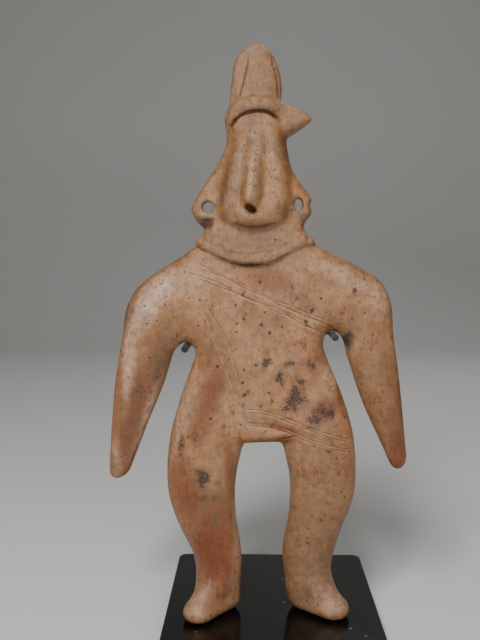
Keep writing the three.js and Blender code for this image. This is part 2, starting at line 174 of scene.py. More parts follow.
# Each foot runs from its heel to its toe and is flat underneath; the instep slopes from the ankle to the toe
FEET = [((-16.6, 1.2, 4.6), (-27.2, -11.6, 3.2)), ((23.0, 2.4, 4.6), (35.6, -7.0, 3.2))]
INSTEPS = [
    [((-19.0, -1.2, 15), 8.2), ((-28.2, -11.4, 4.6), 5.0)],
    [((25.2, -0.4, 15), 8.5), ((36.6, -6.8, 4.6), 5.2)],
]
HEEL_RADIUS = 8.0
TOE_RADIUS = 7.0
FOOT_FLATNESS = 0.66
# The width of the fillet where a form joins on or a hole is cut
FILLETS = {"foot": 4.0, "face": 2.0, "nose": 4.6, "collar": 2.0, "knob": 0.35, "pad": 0.7,
           "ear hole": 0.9, "mouth": 0.8, "ear fold": 1.5, "sole": 1.0}
# Unevenness of the whole surface, [height, wavelength, seed]
UNEVENNESS = [(0.22, 34, 3), (0.08, 9, 5)]


def smooth_path(points, step, closed=False):
    """Points about a step apart on a centripetal Catmull-Rom curve: each stretch is a cubic between two
    points whose slopes come from their neighbours, weighed by the square roots of the distances."""
    points = np.asarray(points, float)
    if closed:
        padded = np.vstack([points[-1:], points, points[:2]])
    else:
        padded = np.vstack([2 * points[0] - points[1], points, 2 * points[-1] - points[-2]])
    stretches = []
    for a, b, c, d in zip(padded, padded[1:], padded[2:], padded[3:]):
        before, here, after = (max(np.linalg.norm(q - p), 1e-6) ** 0.5 for p, q in ((a, b), (b, c), (c, d)))
        slope_b = ((b - a) / before - (c - a) / (before + here) + (c - b) / here) * here
        slope_c = ((c - b) / here - (d - b) / (here + after) + (d - c) / after) * here
        count = max(1, round(np.linalg.norm(c - b) / step))
        t = np.linspace(0, 1, count, endpoint=False)[:, None]
        stretches.append(b + slope_b * t + (3 * (c - b) - 2 * slope_b - slope_c) * t**2
                         + (2 * (b - c) + slope_b + slope_c) * t**3)
    if not closed:
        stretches.append(points[-1:])
    return np.vstack(stretches)


def outline_ring():
    """The closed outline as one row of [x, z] places."""
    return np.vstack([smooth_path(stretch, OUTLINE_STEP) for stretch in OUTLINE])


def by_height(stations, z, soften=2.0):
    """A value read straight between stations by height, then evened out with the mean of three readings."""
    heights, values = zip(*stations)
    return sum(np.interp(z + shift, heights, values) for shift in (-soften, 0.0, soften)) / 3


def smooth_step(low, high, value):
    """0 below low, 1 above high, and 3t^2 - 2t^3 between."""
    t = np.clip((value - low) / (high - low), 0, 1)
    return t * t * (3 - 2 * t)


def join(first, second, width):
    """The lower of two fields, with a rounded fillet of the given width where they meet."""
    share = np.clip(0.5 + 0.5 * (second - first) / width, 0, 1)
    return second + (first - second) * share - width * share * (1 - share)


def cut(field, tool, width):
    """What is left of a field when a tool is taken out of it, with its rim rounded."""
    return -join(-field, tool, width)


def distance_to_path(x, y, z, path):
    """The least distance from each point to the straight pieces of a path, and how far along it lies."""
    best = np.full(np.broadcast(x, y, z).shape, 1e9)
    for a, b in zip(path, path[1:]):
        run = b - a
        t = np.clip(((x - a[0]) * run[0] + (y - a[1]) * run[1] + (z - a[2]) * run[2]) / (run @ run), 0, 1)
        gap = (x - a[0] - t * run[0])**2 + (y - a[1] - t * run[1])**2 + (z - a[2] - t * run[2])**2
        best = np.minimum(best, gap)
    return np.sqrt(best)


def signed_distance(x, z, ring):
    """How far each point of the plane is from a closed outline, negative inside it: the least distance to
    its straight pieces, with the sign from how many of them a level line from the point crosses."""
    best = np.full(x.shape, 1e9)
    inside = np.zeros(x.shape, bool)
    for a, b in zip(ring, np.roll(ring, -1, axis=0)):
        run = b - a
        length = max(run @ run, 1e-9)
        t = np.clip(((x - a[0]) * run[0] + (z - a[1]) * run[1]) / length, 0, 1)
        best = np.minimum(best, (x - a[0] - t * run[0])**2 + (z - a[1] - t * run[1])**2)
        if a[1] != b[1]:
            crossing = a[0] + (z - a[1]) * run[0] / run[1]
            inside ^= ((a[1] > z) != (b[1] > z)) & (x < crossing)
    return np.where(inside, -1, 1) * np.sqrt(best)


def soften_plane(values, passes):
    """Each value becomes the mean of itself (twice) and its neighbours, once along each side in each pass."""
    for _ in range(passes):
        for axis in (0, 1):
            values = (np.roll(values, 1, axis) + 2 * values + np.roll(values, -1, axis)) / 4
    return values


def ripple(x, y, z, wavelength, seed):
    """Gentle unevenness: the mean of seven sine waves in fixed chance directions."""
    chance = np.random.default_rng(seed)
    total = 0.0
    for _ in range(7):
        direction = chance.normal(size=3)
        direction *= 2 * np.pi / (wavelength * chance.uniform(0.7, 1.6) * np.linalg.norm(direction))
        turn = x * direction[0] + y * direction[1] + z * direction[2]
        total = total + np.sin(turn + chance.uniform(0, 6.28))
    return total / 7


def on_arm(x, z):
    """1 on the arms and 0 on the body, passing over along a slanting line by each armpit."""
    start = 35 + 0.3 * (130 - z)
    return smooth_step(-5, 5, np.abs(x) - start) * (1 - smooth_step(150, 168, z))


def on_horn(x, z):
    """1 on the horn and 0 elsewhere."""
    return smooth_step(10, 14, x) * smooth_step(219, 223, z)


def sheet_field(x, y, z):
    """The flat body: near its outline the half thickness falls as a quarter ellipse, so the field is
    (sqrt(q^2 + (y / half)^2) - 1) times half, where q goes from 0 inside the round edge to 1 on the
    outline."""
    plane_x = x[:, 0, :]
    plane_z = z[:, 0, :]
    plane_x, plane_z = np.broadcast_arrays(plane_x, plane_z)
    arm = on_arm(plane_x, plane_z)
    horn = on_horn(plane_x, plane_z)
    half = by_height(BODY_HALF, plane_z) * (1 - arm) + by_height(ARM_HALF, plane_z) * arm
    across, thickness = zip(*HORN_HALF)
    half = half * (1 - horn) + np.interp(plane_x, across, thickness) * horn
    edge = by_height(BODY_EDGE, plane_z) * (1 - arm) + by_height(ARM_EDGE, plane_z) * arm
    edge = edge * (1 - horn) + HORN_EDGE * horn
    depth = signed_distance(plane_x, plane_z, outline_ring())
    share = np.maximum((depth + edge) / edge, 0)
    inner = smooth_step(1.5, 5, -depth)
    share = share * (1 - inner) + soften_plane(share, 6) * inner
    share = share[:, None, :]
    half = half[:, None, :]
    return (np.sqrt(share**2 + (y / half)**2) - 1) * half


def level_form(x, y, middle, half_width, front, back):
    """A form whose level sections are rounded boxes: (|across|^n + |deep|^n)^(1/n) - 1, times the lesser
    half."""
    reach = np.where(y < 0, front, back)
    across = np.abs(x - middle) / half_width
    deep = np.abs(y) / reach
    total = across**SQUARENESS + deep**SQUARENESS
    return (total ** (1 / SQUARENESS) - 1) * np.minimum(half_width, reach)


def face_field(x, y, z):
    """The long face: a level form whose lower end curves up at both sides, as a jaw does, with a channel
    down each side of the nose and a fuller lip under it."""
    jaw = np.minimum(np.abs((x - JAW["middle"]) / JAW["half_width"])**JAW["power"], JAW["most"])
    lifted = z - JAW["rise"] * jaw * (1 - smooth_step(*JAW["fade"], z))
    nose_middle = np.interp(z, (NOSE_TIP[2], NOSE_TOP[2]), (NOSE_TIP[0], NOSE_TOP[0]))
    nose_half = np.interp(z, (NOSE_TIP[2], NOSE_TOP[2]), (NOSE_RADII[1], NOSE_RADII[0]))
    beside = (np.abs(x - nose_middle) - nose_half - NOSE_CHANNEL["gap"]) / NOSE_CHANNEL["width"]
    channel = NOSE_CHANNEL["depth"] * np.exp(-beside**2)
    channel = channel * smooth_step(*NOSE_CHANNEL["low"], z) * (1 - smooth_step(*NOSE_CHANNEL["high"], z))
    (lip_x, lip_z), (lip_width, lip_height) = LIP["place"], LIP["half"]
    lip = LIP["rise"] * np.exp(-((x - lip_x) / lip_width)**2 - ((z - lip_z) / lip_height)**2)
    field = level_form(x, y, by_height(FACE_MIDDLE, lifted), by_height(FACE_WIDTH, lifted),
                       by_height(FACE_FRONT, lifted, 0.6) - channel + lip, by_height(FACE_BACK, lifted))
    return np.maximum(field, np.maximum(FACE_ENDS[0] - lifted, z - FACE_ENDS[1]))


def neck_field(x, y, z):
    """The neck: a level form that flares forward down to the line of the collar."""
    aside = ((x - COLLAR_LINE["middle"]) / COLLAR_LINE["half_width"])**2
    lifted = z - COLLAR_LINE["rise"] * np.minimum(aside, COLLAR_LINE["most"])
    front = by_height(NECK_FRONT, lifted, 0.8)
    field = level_form(x, y, NECK_MIDDLE, by_height(NECK_WIDTH, z), front, NECK_BACK)
    return np.maximum(field, np.maximum(NECK_ENDS[0] - lifted, z - NECK_ENDS[1]))


def taper_field(x, y, z, start, start_radius, end, end_radius):
    """A tapered roll: the distance to a line, less a radius that changes evenly along it."""
    start, end = np.array(start), np.array(end)
    run = end - start
    along = (x - start[0]) * run[0] + (y - start[1]) * run[1] + (z - start[2]) * run[2]
    t = np.clip(along / (run @ run), 0, 1)
    across, deep, up = (axis - start[k] - t * run[k] for k, axis in enumerate((x, y, z)))
    return np.sqrt(across**2 + deep**2 + up**2) - (start_radius + (end_radius - start_radius) * t)


def ball_field(x, y, z, place, half, tilt=0.0):
    """An ellipsoid turned about the depth: (|p / half| - 1) times its least half."""
    across = (x - place[0]) * math.cos(tilt) - (z - place[2]) * math.sin(tilt)
    up = (x - place[0]) * math.sin(tilt) + (z - place[2]) * math.cos(tilt)
    deep = y - place[1]
    return (np.sqrt((across / half[0])**2 + (deep / half[1])**2 + (up / half[2])**2) - 1) * min(half)


def foot_field(x, y, z, heel, toe):
    """A foot: a tapering rod from heel to toe, flattened by measuring heights as longer than they are."""
    heel, toe = np.array(heel), np.array(toe)
    run = toe - heel
    t = np.clip(((x - heel[0]) * run[0] + (y - heel[1]) * run[1]) / (run[0]**2 + run[1]**2), 0, 1)
    up = (z - heel[2] - t * run[2]) / FOOT_FLATNESS
    gap = np.sqrt((x - heel[0] - t * run[0])**2 + (y - heel[1] - t * run[1])**2 + up**2)
    return (gap - (HEEL_RADIUS + (TOE_RADIUS - HEEL_RADIUS) * t)) * FOOT_FLATNESS


def figure_field(x, y, z):
    """The whole figure: its forms joined with small fillets, its holes cut, and its feet cut off level."""
    field = sheet_field(x, y, z)
    low = np.searchsorted(z[0, 0], FEET_TOP)
    low_z = z[:, :, :low]
    feet = [foot_field(x, y, low_z, heel, toe) for heel, toe in FEET]
    insteps = [taper_field(x, y, low_z, *ankle, *toe) for ankle, toe in INSTEPS]
    feet = join(np.minimum(*feet), np.minimum(*insteps), FILLETS["foot"])
    field[:, :, :low] = join(field[:, :, :low], feet, FILLETS["foot"])
    start = np.searchsorted(z[0, 0], HEAD_START)
    head_z = z[:, :, start:]
    head = field[:, :, start:]
    head = join(head, face_field(x, y, head_z), FILLETS["face"])
    nose = taper_field(x, y, head_z, NOSE_TOP, NOSE_RADII[0], NOSE_TIP, NOSE_RADII[1])
    head = join(head, nose, FILLETS["nose"])
    rim = distance_to_path(x, y, head_z, smooth_path(COLLAR, ROLL_STEP))
    rim = rim - COLLAR_RADIUS - 0.6 * ripple(x, y, head_z, 8, seed=8)
    neck = join(neck_field(x, y, head_z), rim, FILLETS["collar"])
    for place, half, tilt in KNOBS:
        neck = join(neck, ball_field(x, y, head_z, place, half, tilt), FILLETS["knob"])
    # The neck's fillet is tight under the collar and wide above it
    head = join(head, neck, 0.4 + 2.2 * smooth_step(174, 180, head_z))
    band = smooth_path(BAND, ROLL_STEP, closed=True)
    band_radius = BAND_RADIUS - 1.2 * smooth_step(3, 11, x)
    roll = distance_to_path(x, y, head_z, np.vstack([band, band[:1]])) - band_radius
    # The band's fillet is tight below it, and wide above it and beside the horn
    above = smooth_step(233, 239, head_z + 0.03 * x**2)
    head = join(head, roll, 0.5 + 2.6 * np.maximum(above * smooth_step(-14, -9, x), smooth_step(6, 11, x)))
    for (hole_x, hole_z), half in EAR_HOLES:
        hole = (np.sqrt(((x - hole_x) / half[0])**2 + ((head_z - hole_z) / half[1])**2) - 1) * min(half)
        head = cut(head, hole, FILLETS["ear hole"])
    mouth = ball_field(x, y, head_z, MOUTH["place"], MOUTH["half"], MOUTH["tilt"])
    head = cut(head, mouth, FILLETS["mouth"])
    below_ear = EAR_FOLD["edge_z"] + EAR_FOLD["sag"] * (x - EAR_FOLD["middle_x"])**2 - head_z
    beside_neck = x - EAR_FOLD["neck_x"] + EAR_FOLD["neck_lean"] * below_ear
    under_ear = np.maximum(np.maximum(beside_neck, -below_ear), y + EAR_FOLD["depth_y"])
    head = cut(head, np.maximum(under_ear, EAR_FOLD["bottom_z"] - head_z), FILLETS["ear fold"])
    field[:, :, start:] = head
    (pad_left, left_radius), (pad_right, right_radius) = PAD_ENDS
    pad = taper_field(x, y, z, pad_left, left_radius, pad_right, right_radius)
    field = join(field, pad, FILLETS["pad"])
    field += sum(height * ripple(x, y, z, wavelength, seed) for height, wavelength, seed in UNEVENNESS)
    return cut(field, z - GAP, FILLETS["sole"])


def surface_of(field, origin, cell):
    """The zero surface of a field by surface nets: each cell that the surface passes through gets one point,
    the mean of where its edges cross the surface, and each crossed edge gets a quad of its four cells."""
    cells = np.array(field.shape) - 1
    owners, places, quads = [], [], []
    for axis in range(3):
        low = field.take(range(cells[axis]), axis)
        high = field.take(range(1, cells[axis] + 1), axis)
        at = np.argwhere((low < 0) != (high < 0))
        near, far = low[tuple(at.T)], high[tuple(at.T)]
        place = at.astype(float)
        place[:, axis] += near / (near - far)
        ring = []
        for step_u, step_v in ((0, 0), (-1, 0), (-1, -1), (0, -1)):
            owner = at.copy()
            owner[:, (axis + 1) % 3] += step_u
            owner[:, (axis + 2) % 3] += step_v
            ring.append(np.ravel_multi_index(owner.T, cells))
            owners.append(ring[-1])
            places.append(place)
        quad = np.stack(ring, axis=1)
        quads.append(np.where((near < 0)[:, None], quad, quad[:, ::-1]))
    owners, places, quads = np.concatenate(owners), np.concatenate(places), np.concatenate(quads)
    used, index = np.unique(owners, return_inverse=True)
    count = np.bincount(index)
    points = np.stack([np.bincount(index, weights=places[:, k]) / count for k in range(3)], axis=1)
    quads = np.searchsorted(used, quads)
    triangles = np.vstack([quads[:, [0, 1, 2]], quads[:, [0, 2, 3]]])
    return points * cell + np.array(origin), triangles


def point_normals(points, triangles):
    """The direction in which each point faces: the sum of its triangles' crossed edges, made one long."""
    a, b, c = (points[triangles[:, k]] for k in range(3))
    face = np.cross(b - a, c - a)
    total = np.stack([sum(np.bincount(triangles[:, k], weights=face[:, axis], minlength=len(points))
                          for k in range(3)) for axis in range(3)], axis=1)
    return total / np.maximum(np.linalg.norm(total, axis=1, keepdims=True), 1e-12)


def relaxed(points, triangles, passes):
    """Each point moves halfway to the mean of the points that it shares an edge with, once in each pass."""
    edges = np.unique(np.sort(triangles[:, [[0, 1], [1, 2], [2, 0]]].reshape(-1, 2), axis=1), axis=0)
    ends, others = np.concatenate([edges, edges[:, ::-1]]).T
    count = np.bincount(ends)[:, None]
    for _ in range(passes):
        total = np.stack([np.bincount(ends, weights=points[others, axis]) for axis in range(3)], axis=1)
        points = (points + total / count) / 2
    return points


def split_edges(points, triangles, near):
    """Every edge whose middle is near a mark is halved, and each triangle is cut into two, three or four to
    suit, so that no crack opens."""
    sides = np.sort(triangles[:, [[0, 1], [1, 2], [2, 0]]].reshape(-1, 2), axis=1)
    edges, which = np.unique(sides, axis=0, return_inverse=True)
    middles = points[edges].mean(axis=1)
    marked = near(middles)
    fresh = len(points) + np.cumsum(marked) - 1
    which = which.reshape(-1, 3)
    split = marked[which]
    middle = fresh[which]
    made = [triangles[~split.any(axis=1)]]
    for first in range(3):
        second, third = (first + 1) % 3, (first + 2) % 3
        a, b, c = triangles[:, first], triangles[:, second], triangles[:, third]
        ab, bc = middle[:, first], middle[:, second]
        one = split[:, first] & ~split[:, second] & ~split[:, third]
        two = split[:, first] & split[:, second] & ~split[:, third]
        made += [np.stack(t, axis=1)[one] for t in ((a, ab, c), (ab, b, c))]
        made += [np.stack(t, axis=1)[two] for t in ((ab, b, bc), (a, ab, bc), (a, bc, c))]
    a, b, c = triangles.T
    ab, bc, ca = middle.T
    every = split.all(axis=1)
    made += [np.stack(t, axis=1)[every] for t in ((a, ab, ca), (ab, b, bc), (ca, bc, c), (ab, bc, ca))]
    return np.vstack([points, middles[marked]]), np.vstack(made)


# Lines drawn in the wet clay, [x, z] along each, and how strongly each is cut
DRAWN_LINES = [
    ([(-25.7, 165.6), (-18.3, 161.9), (-13.7, 159.6), (-9.1, 158.0), (-0.8, 154.1), (7.5, 150.0),
      (15.3, 147.2), (21.4, 144.5), (30, 141)], 0.8),
    ([(-20.8, 162.2), (-17.8, 161.0), (-11.4, 158.0), (-5.4, 155.0), (3.8, 150.9), (13.1, 146.3),
      (21.8, 142.6), (28.8, 139.8), (34.4, 136.8)], 1.0),
    ([(-30.3, 161.7), (-25.2, 160.3), (-18.8, 158.0), (-12.3, 154.6), (-7.3, 151.8), (2.2, 148.2),
      (11, 144.9), (20, 140.8)], 0.9),
    ([(-27, 159.4), (-23.8, 158.3), (-17.9, 156.0), (-10.0, 153.0), (-3.6, 150.4), (3.8, 146.7),
      (8.4, 144.7), (13.1, 143.0), (18.6, 139.8), (29.2, 134.8)], 1.0),
    ([(-26.6, 149.6), (-24.8, 145.3), (-23.0, 141.6), (-21.6, 137.9), (-19.4, 130.9), (-18.2, 127.6),
      (-14.4, 119.0), (-10.7, 108.1), (-5.2, 94.3)], 0.8),
    ([(-25.6, 149.2), (-23.8, 145.6), (-22.0, 141.0), (-20.4, 136.6), (-18.2, 130.9), (-17, 127.2),
      (-13.1, 118.6), (-9.6, 107.8), (-4.4, 95.2)], 0.55),
    ([(-24.4, 150.4), (-22.0, 145.3), (-17.9, 138.3), (-15.1, 133.7), (-12.6, 127.6), (-8.9, 113.6),
      (-5.4, 99.8)], 0.5),
    ([(-5.2, 99.6), (2.8, 98.9), (9.2, 97.1), (18.3, 93.5), (28.3, 89.6), (42.4, 85.3)], 0.9),
    ([(-4.6, 98.2), (3.0, 97.5), (9.2, 95.6), (18.3, 92.2), (28.3, 88.4), (41.4, 84.2)], 0.7),
    ([(-5.2, 93.2), (4.2, 92.5), (10.3, 91.3), (15.6, 89.3), (18.8, 87.6), (25.5, 85.1), (33, 82.8),
      (43.2, 80.2)], 0.8),
    ([(-4, 91.8), (4.2, 91.1), (10.1, 89.8), (15.4, 87.9), (18.8, 86.2), (25.5, 83.9), (33, 81.7),
      (42.6, 79.2)], 0.6),
]
LINE_WIDTH = 0.26
LINE_DEPTH = 0.3
BURR = 0.12
BURR_PLACE = (0.3, 0.0, 0.5)
BURR_WIDTH = 0.3
LINE_REACH = 2.2
# Only points nearer than this, in y, are on the front
FRONT_START = -2
# Deeper cuts, [x, z] along each, with half width and depth; they, the drawn lines and the pits are browned
# as painted shade
CUTS = [
    ([(-4.4, 257.6), (-5.5, 251.8), (-6.9, 246.3), (-8.9, 239.6)], 0.34, 0.7),
    ([(6.0, 257.4), (7.4, 252.7), (8.5, 248.1), (9.1, 241.1)], 0.52, 1.1),
    ([(-13.8, 226.4), (-10.4, 229.6), (-5.4, 232.4), (0, 233.1), (5.4, 232.3), (9.9, 229.5)], 0.6, 1.5),
    ([(-11.5, 228.1), (-12.1, 223.9)], 0.34, 0.7),
    ([(-27.8, 174.0), (-25.4, 172.2), (-23.2, 171)], 0.3, 0.5),
    ([(-17.4, 169.3), (-13.6, 167.3), (-7.3, 165.8), (-0.8, 165.9), (5.2, 166.8), (9.8, 168.8),
      (14, 171)], 0.42, 0.8),
    ([(21.9, 178.7), (22.4, 177.2), (22.3, 175.4)], 0.28, 0.5),
    ([(-7.1, 170.4), (-6.1, 169.4), (-5.7, 167.2)], 0.24, 0.5),
    ([(9.4, 85.4), (13, 85.7), (16.6, 86.6), (18.6, 87.2)], 0.45, 0.6),
    ([(-10.4, 183.7), (-4.1, 182.5), (3.1, 182.9), (7.4, 184.2)], 0.6, 0.9),
]
# Soft creases, pressed in the same way but not browned
CREASES = [
    ([(-4.6, 92.4), (4.2, 91.4), (11, 89.8), (16.4, 87.6)], 1.0, 0.45),
    ([(-9.2, 92.4), (-10.2, 88.6), (-9.2, 85)], 0.8, 0.5),
    ([(-28.0, 186.2), (-24.4, 185.6), (-20.4, 186.2)], 0.6, 0.4),
    ([(15.4, 189.4), (17.2, 188.2), (21, 187.8)], 0.6, 0.5),
    ([(16.2, 177.2), (17.2, 179.2), (19.2, 180.6)], 0.6, 0.5),
]
NOSE_PIT_COUNT = 34
# Pits, [x, z, radius]
PITS = [
    (0.6, 253.1, 0.6), (1.0, 251.8, 0.3), (-3.6, 246.3, 0.35), (-2.9, 260.3, 0.35), (-6.9, 250, 0.3),
    (0.4, 237.6, 0.35), (2.1, 237.8, 0.42), (-4.2, 231.0, 0.4), (4.0, 228.4, 0.5), (11.4, 191, 0.4),
    (-14.2, 199.6, 0.3), (5.6, 207.6, 0.35), (-17.9, 181.9, 0.4), (1.2, 174.4, 0.45), (4.3, 174.6, 0.45),
]
# Hollows browned as painted shade, in the mouth and under the ear flap on the left of the view,
# [place, half size, tilt, strength]
SHADED_HOLLOWS = [((-3.4, 190.9), (3.3, 1.6), 0.58, 1), ((-23.8, 184.2), (4.2, 2.5), -0.2, 1.15)]


def nose_pits():
    """Chance pits along the nose's ridge and over the rough flare at its top."""
    chance = np.random.default_rng(21)
    along = chance.uniform(0, 1.1, NOSE_PIT_COUNT)
    x = NOSE_TIP[0] + along * (NOSE_TOP[0] - NOSE_TIP[0]) + chance.normal(0, 1.1, NOSE_PIT_COUNT)
    z = NOSE_TIP[2] + along * (NOSE_TOP[2] - NOSE_TIP[2])
    return list(zip(x, z, chance.uniform(0.2, 0.42, NOSE_PIT_COUNT)))


def drawn_paths():
    """Each drawn line as a smooth path, with how strongly it is cut."""
    return [(smooth_path(line, LINE_STEP), strength) for line, strength in DRAWN_LINES]


def plane_distance(points, path):
    """The least distance, seen from the front, from each point to a row of [x, z] places."""
    flat = np.zeros((len(path), 3))
    flat[:, [0, 2]] = path
    return distance_to_path(points[:, 0], 0.0, points[:, 2], flat)


def near_line(points, lines, reach):
    """Which points at the front lie within reach of any of the lines; each line looks only in its own box."""
    close = np.zeros(len(points), bool)
    for line in lines:
        low, high = line.min(axis=0) - reach, line.max(axis=0) + reach
        flat = points[:, [0, 2]]
        inside = (flat > low).all(axis=1) & (flat < high).all(axis=1)
        ask = np.flatnonzero(inside & (points[:, 1] < FRONT_START))
        close[ask] |= plane_distance(points[ask], line) < reach
    return close


def carve(points, normals, fine, deep):
    """Presses the drawn lines, cuts, creases and pits into the front: each groove's depth falls off from its
    middle as exp(-(d / width)^2), with a burr pushed up below each drawn line. Gives the points, how brown
    each one is from the grooves and hollows, which is painted shade, and how high its burr is, which sets
    a painted highlight."""
    facing = smooth_step(0.25, 0.6, -normals[:, 1])
    press = np.zeros(len(points))
    grooves = np.zeros(len(points))
    burrs = np.zeros(len(points))
    for line, strength in fine:
        ask = np.flatnonzero(near_line(points, [line], LINE_REACH))
        d = plane_distance(points[ask], line)
        # How hard the line is pressed, and how high its burr is, wander along it
        wander = strength * (0.75 + 0.25 * np.sin(0.7 * points[ask, 0] + 1.7 * line[0, 0]))
        groove = np.exp(-(d / LINE_WIDTH)**2) * wander
        beside = plane_distance(points[ask] + np.array(BURR_PLACE), line)
        sway = 0.6 + 0.4 * np.sin(1.1 * points[ask, 2] + line[0, 1])
        burr = np.exp(-(beside / BURR_WIDTH)**2) * wander * sway
        press[ask] += BURR * burr - LINE_DEPTH * groove
        grooves[ask] = np.maximum(grooves[ask], 0.75 * groove)
        burrs[ask] = np.maximum(burrs[ask], burr)
    for line, width, depth in deep:
        ask = np.flatnonzero(near_line(points, [line], 3 * width + 1))
        d = plane_distance(points[ask], line)
        to_end = np.minimum(*(np.hypot(*(points[ask][:, [0, 2]] - end).T) for end in (line[0], line[-1])))
        groove = np.exp(-(d / width)**2) * (0.3 + 0.7 * smooth_step(0, 3, to_end))
        press[ask] -= depth * groove
        grooves[ask] = np.maximum(grooves[ask], groove)
    for line, width, depth in CREASES:
        press -= depth * np.exp(-(plane_distance(points, np.array(line)) / width)**2)
    for x, z, radius in PITS + nose_pits():
        d = np.hypot(points[:, 0] - x, points[:, 2] - z)
        pit = np.exp(-(d / radius)**2) * (points[:, 1] < 0)
        press -= 0.9 * radius * pit
        grooves = np.maximum(grooves, 0.8 * pit)
    hollow = np.zeros(len(points))
    for (x, z), half, tilt, strength in SHADED_HOLLOWS:
        out = oval_distance(points, x, z, *half, tilt)
        hollow = np.maximum(hollow, strength * (1 - smooth_step(0.5, 1.25, out)) * (points[:, 1] < 0))
    return points + normals * (press * facing)[:, None], np.maximum(grooves * facing, hollow), burrs * facing


# Colour patches, [x, z, half width, half height, lean, strength]
# Orange-red clay; the patch along the pad's lower edge, at z 86, is painted shade
ORANGE = [
    (-21, 32, 7.5, 20, -0.1, 1.0), (-21.6, 106, 3.6, 16, 0.35, 0.5), (-33, 58, 8, 14, -0.15, 0.6),
    (-58, 97, 3.2, 21, 0.26, 0.75), (65.2, 79, 3.0, 13, -0.17, 0.9), (66, 101, 1.6, 13, -0.1, 0.5),
    (38.0, 103.6, 1.5, 6, -0.25, 0.55), (12.6, 90.4, 7.0, 1.7, 0.27, 0.65), (-31, 0, 8, 3.6, 0, 0.4),
    (37, 0, 8, 3.6, 0, 0.4), (11.4, 221, 1.6, 8, -0.2, 0.6), (30, 99, 5, 5, 0, 0.6),
    (5, 158.5, 9, 4, 0.35, 0.34), (-12.5, 71, 2.4, 13, -0.1, 0.5), (14.2, 203, 1.3, 12, -0.06, 0.25),
    (13, 86, 5, 1.6, -0.1, 0.7),
]
# Darker patches: painted shade under the chin and over the neck, in the armpit on the right of the view,
# at the shoulder's edge on the left of the view and down the face's sides, and darker clay on the arms,
# legs and body
SHADE_AND_DARKER_CLAY = [
    (-58, 94, 5, 26, 0.24, 0.8), (-46, 120, 6, 14, 0.3, 0.9), (41.4, 131.4, 3, 4.4, 0.3, 1.3),
    (-60, 146, 3.2, 13, 0.3, 1.0), (-45, 134, 9, 8, 0, 0.4), (62, 88, 9, 24, -0.2, 0.45),
    (52, 118, 8, 20, -0.2, 0.3), (26, 32, 14, 28, 0, 1), (30, 68, 13, 20, 0, 0.7),
    (-24, 44, 12, 14, 0, 0.3), (-12, 203, 6, 18, 0.1, 1), (11.5, 205, 3.4, 18, -0.12, 0.5),
    (-2.5, 180.6, 9, 2.4, 0, 1), (-2, 223, 4, 8, 0, 0.8), (-3, 203, 4, 14, 0.1, 0.35),
    (-3, 177, 18, 7, 0, 0.6), (-1, 254, 12, 12, 0, 0.25), (40, 156, 14, 8, 0.5, 0.25),
    (0, 130, 30, 34, 0, 0.15),
]
MATTE = [
    (-1, 251, 14, 19, 0, 0.8), (-1, 236, 15, 5, 0, 0.9), (17, 231, 9, 8, 0, 0.9),
    (-2.4, 178, 26, 8.5, 0, 1), (-2, 171, 26, 6, 0, 1), (-2.6, 205, 3, 13, 0.11, 0.7),
    (0.2, 218, 4, 4, 0, 0.7), (-24, 190, 6, 6, 0, 0.8), (19, 190, 5, 7, 0, 0.8), (-3, 185, 14, 3, 0, 0.8),
]
NOSE_GLINT = [(-3.6, 203, 1.0, 10, 0.11, 0.6), (-0.6, 217, 2.0, 4, 0.3, 0.3)]
# Ochre patches: the clay's own ochre, most on the arms and legs, and painted shade at the shoulder's edge on
# the left of the view, down the face's sides and beside the nose, at the jaw's corners, and under the chin,
# the band, the horn and the pad
OCHRE_PATCHES = [
    (-15.4, 188, 4, 4, 0, 0.9), (11.6, 188, 4, 4, 0, 0.9), (-16.4, 197, 1.8, 9, 0.1, 0.9),
    (0, 252, 14, 16, 0, 0.35), (9, 250, 2, 9, -0.1, 0.7), (-2, 176, 24, 8, 0, 0.5),
    (4, 85.4, 12, 1.4, 0, 0.8), (0, 233.4, 12, 1.6, 0, 0.7), (18, 226, 8, 2, -0.6, 0.6),
    (-60.4, 146, 3, 14, 0.3, 1.0), (-60, 92, 6, 30, 0.2, 0.9), (-48, 118, 6, 18, 0.3, 0.95),
    (60, 100, 10, 34, -0.15, 0.6), (62, 146, 5, 12, 0, 0.4), (-25, 45, 16, 28, 0, 0.7),
    (27, 50, 16, 34, 0, 0.3), (-13.4, 207, 2.2, 18, 0.28, 0.9), (13.2, 206, 1.6, 20, -0.2, 0.4),
    (-2, 186.2, 13, 3.6, 0, 0.7), (-3, 180, 14, 4, 0, 0.6), (-25, 188, 5, 6, 0, 0.7),
    (20, 188, 5, 5, 0, 0.6), (-21.5, 105, 5, 19, 0.35, 0.7), (-22, 128, 6, 12, 0, 0.5),
    (6, 158.5, 13, 5.5, 0.35, 0.6), (24, 152, 10, 8, 0.3, 0.35), (-36, 140, 7, 7, 0, 0.6),
    (38, 142, 7, 6, 0, 0.5), (-6.4, 205, 1.4, 14, 0.1, 0.4), (1.4, 203, 1.4, 13, 0.1, 0.35),
    (-1.6, 206, 3, 13, 0.11, 0.45), (0.4, 218, 4, 4, 0, 0.5),
]
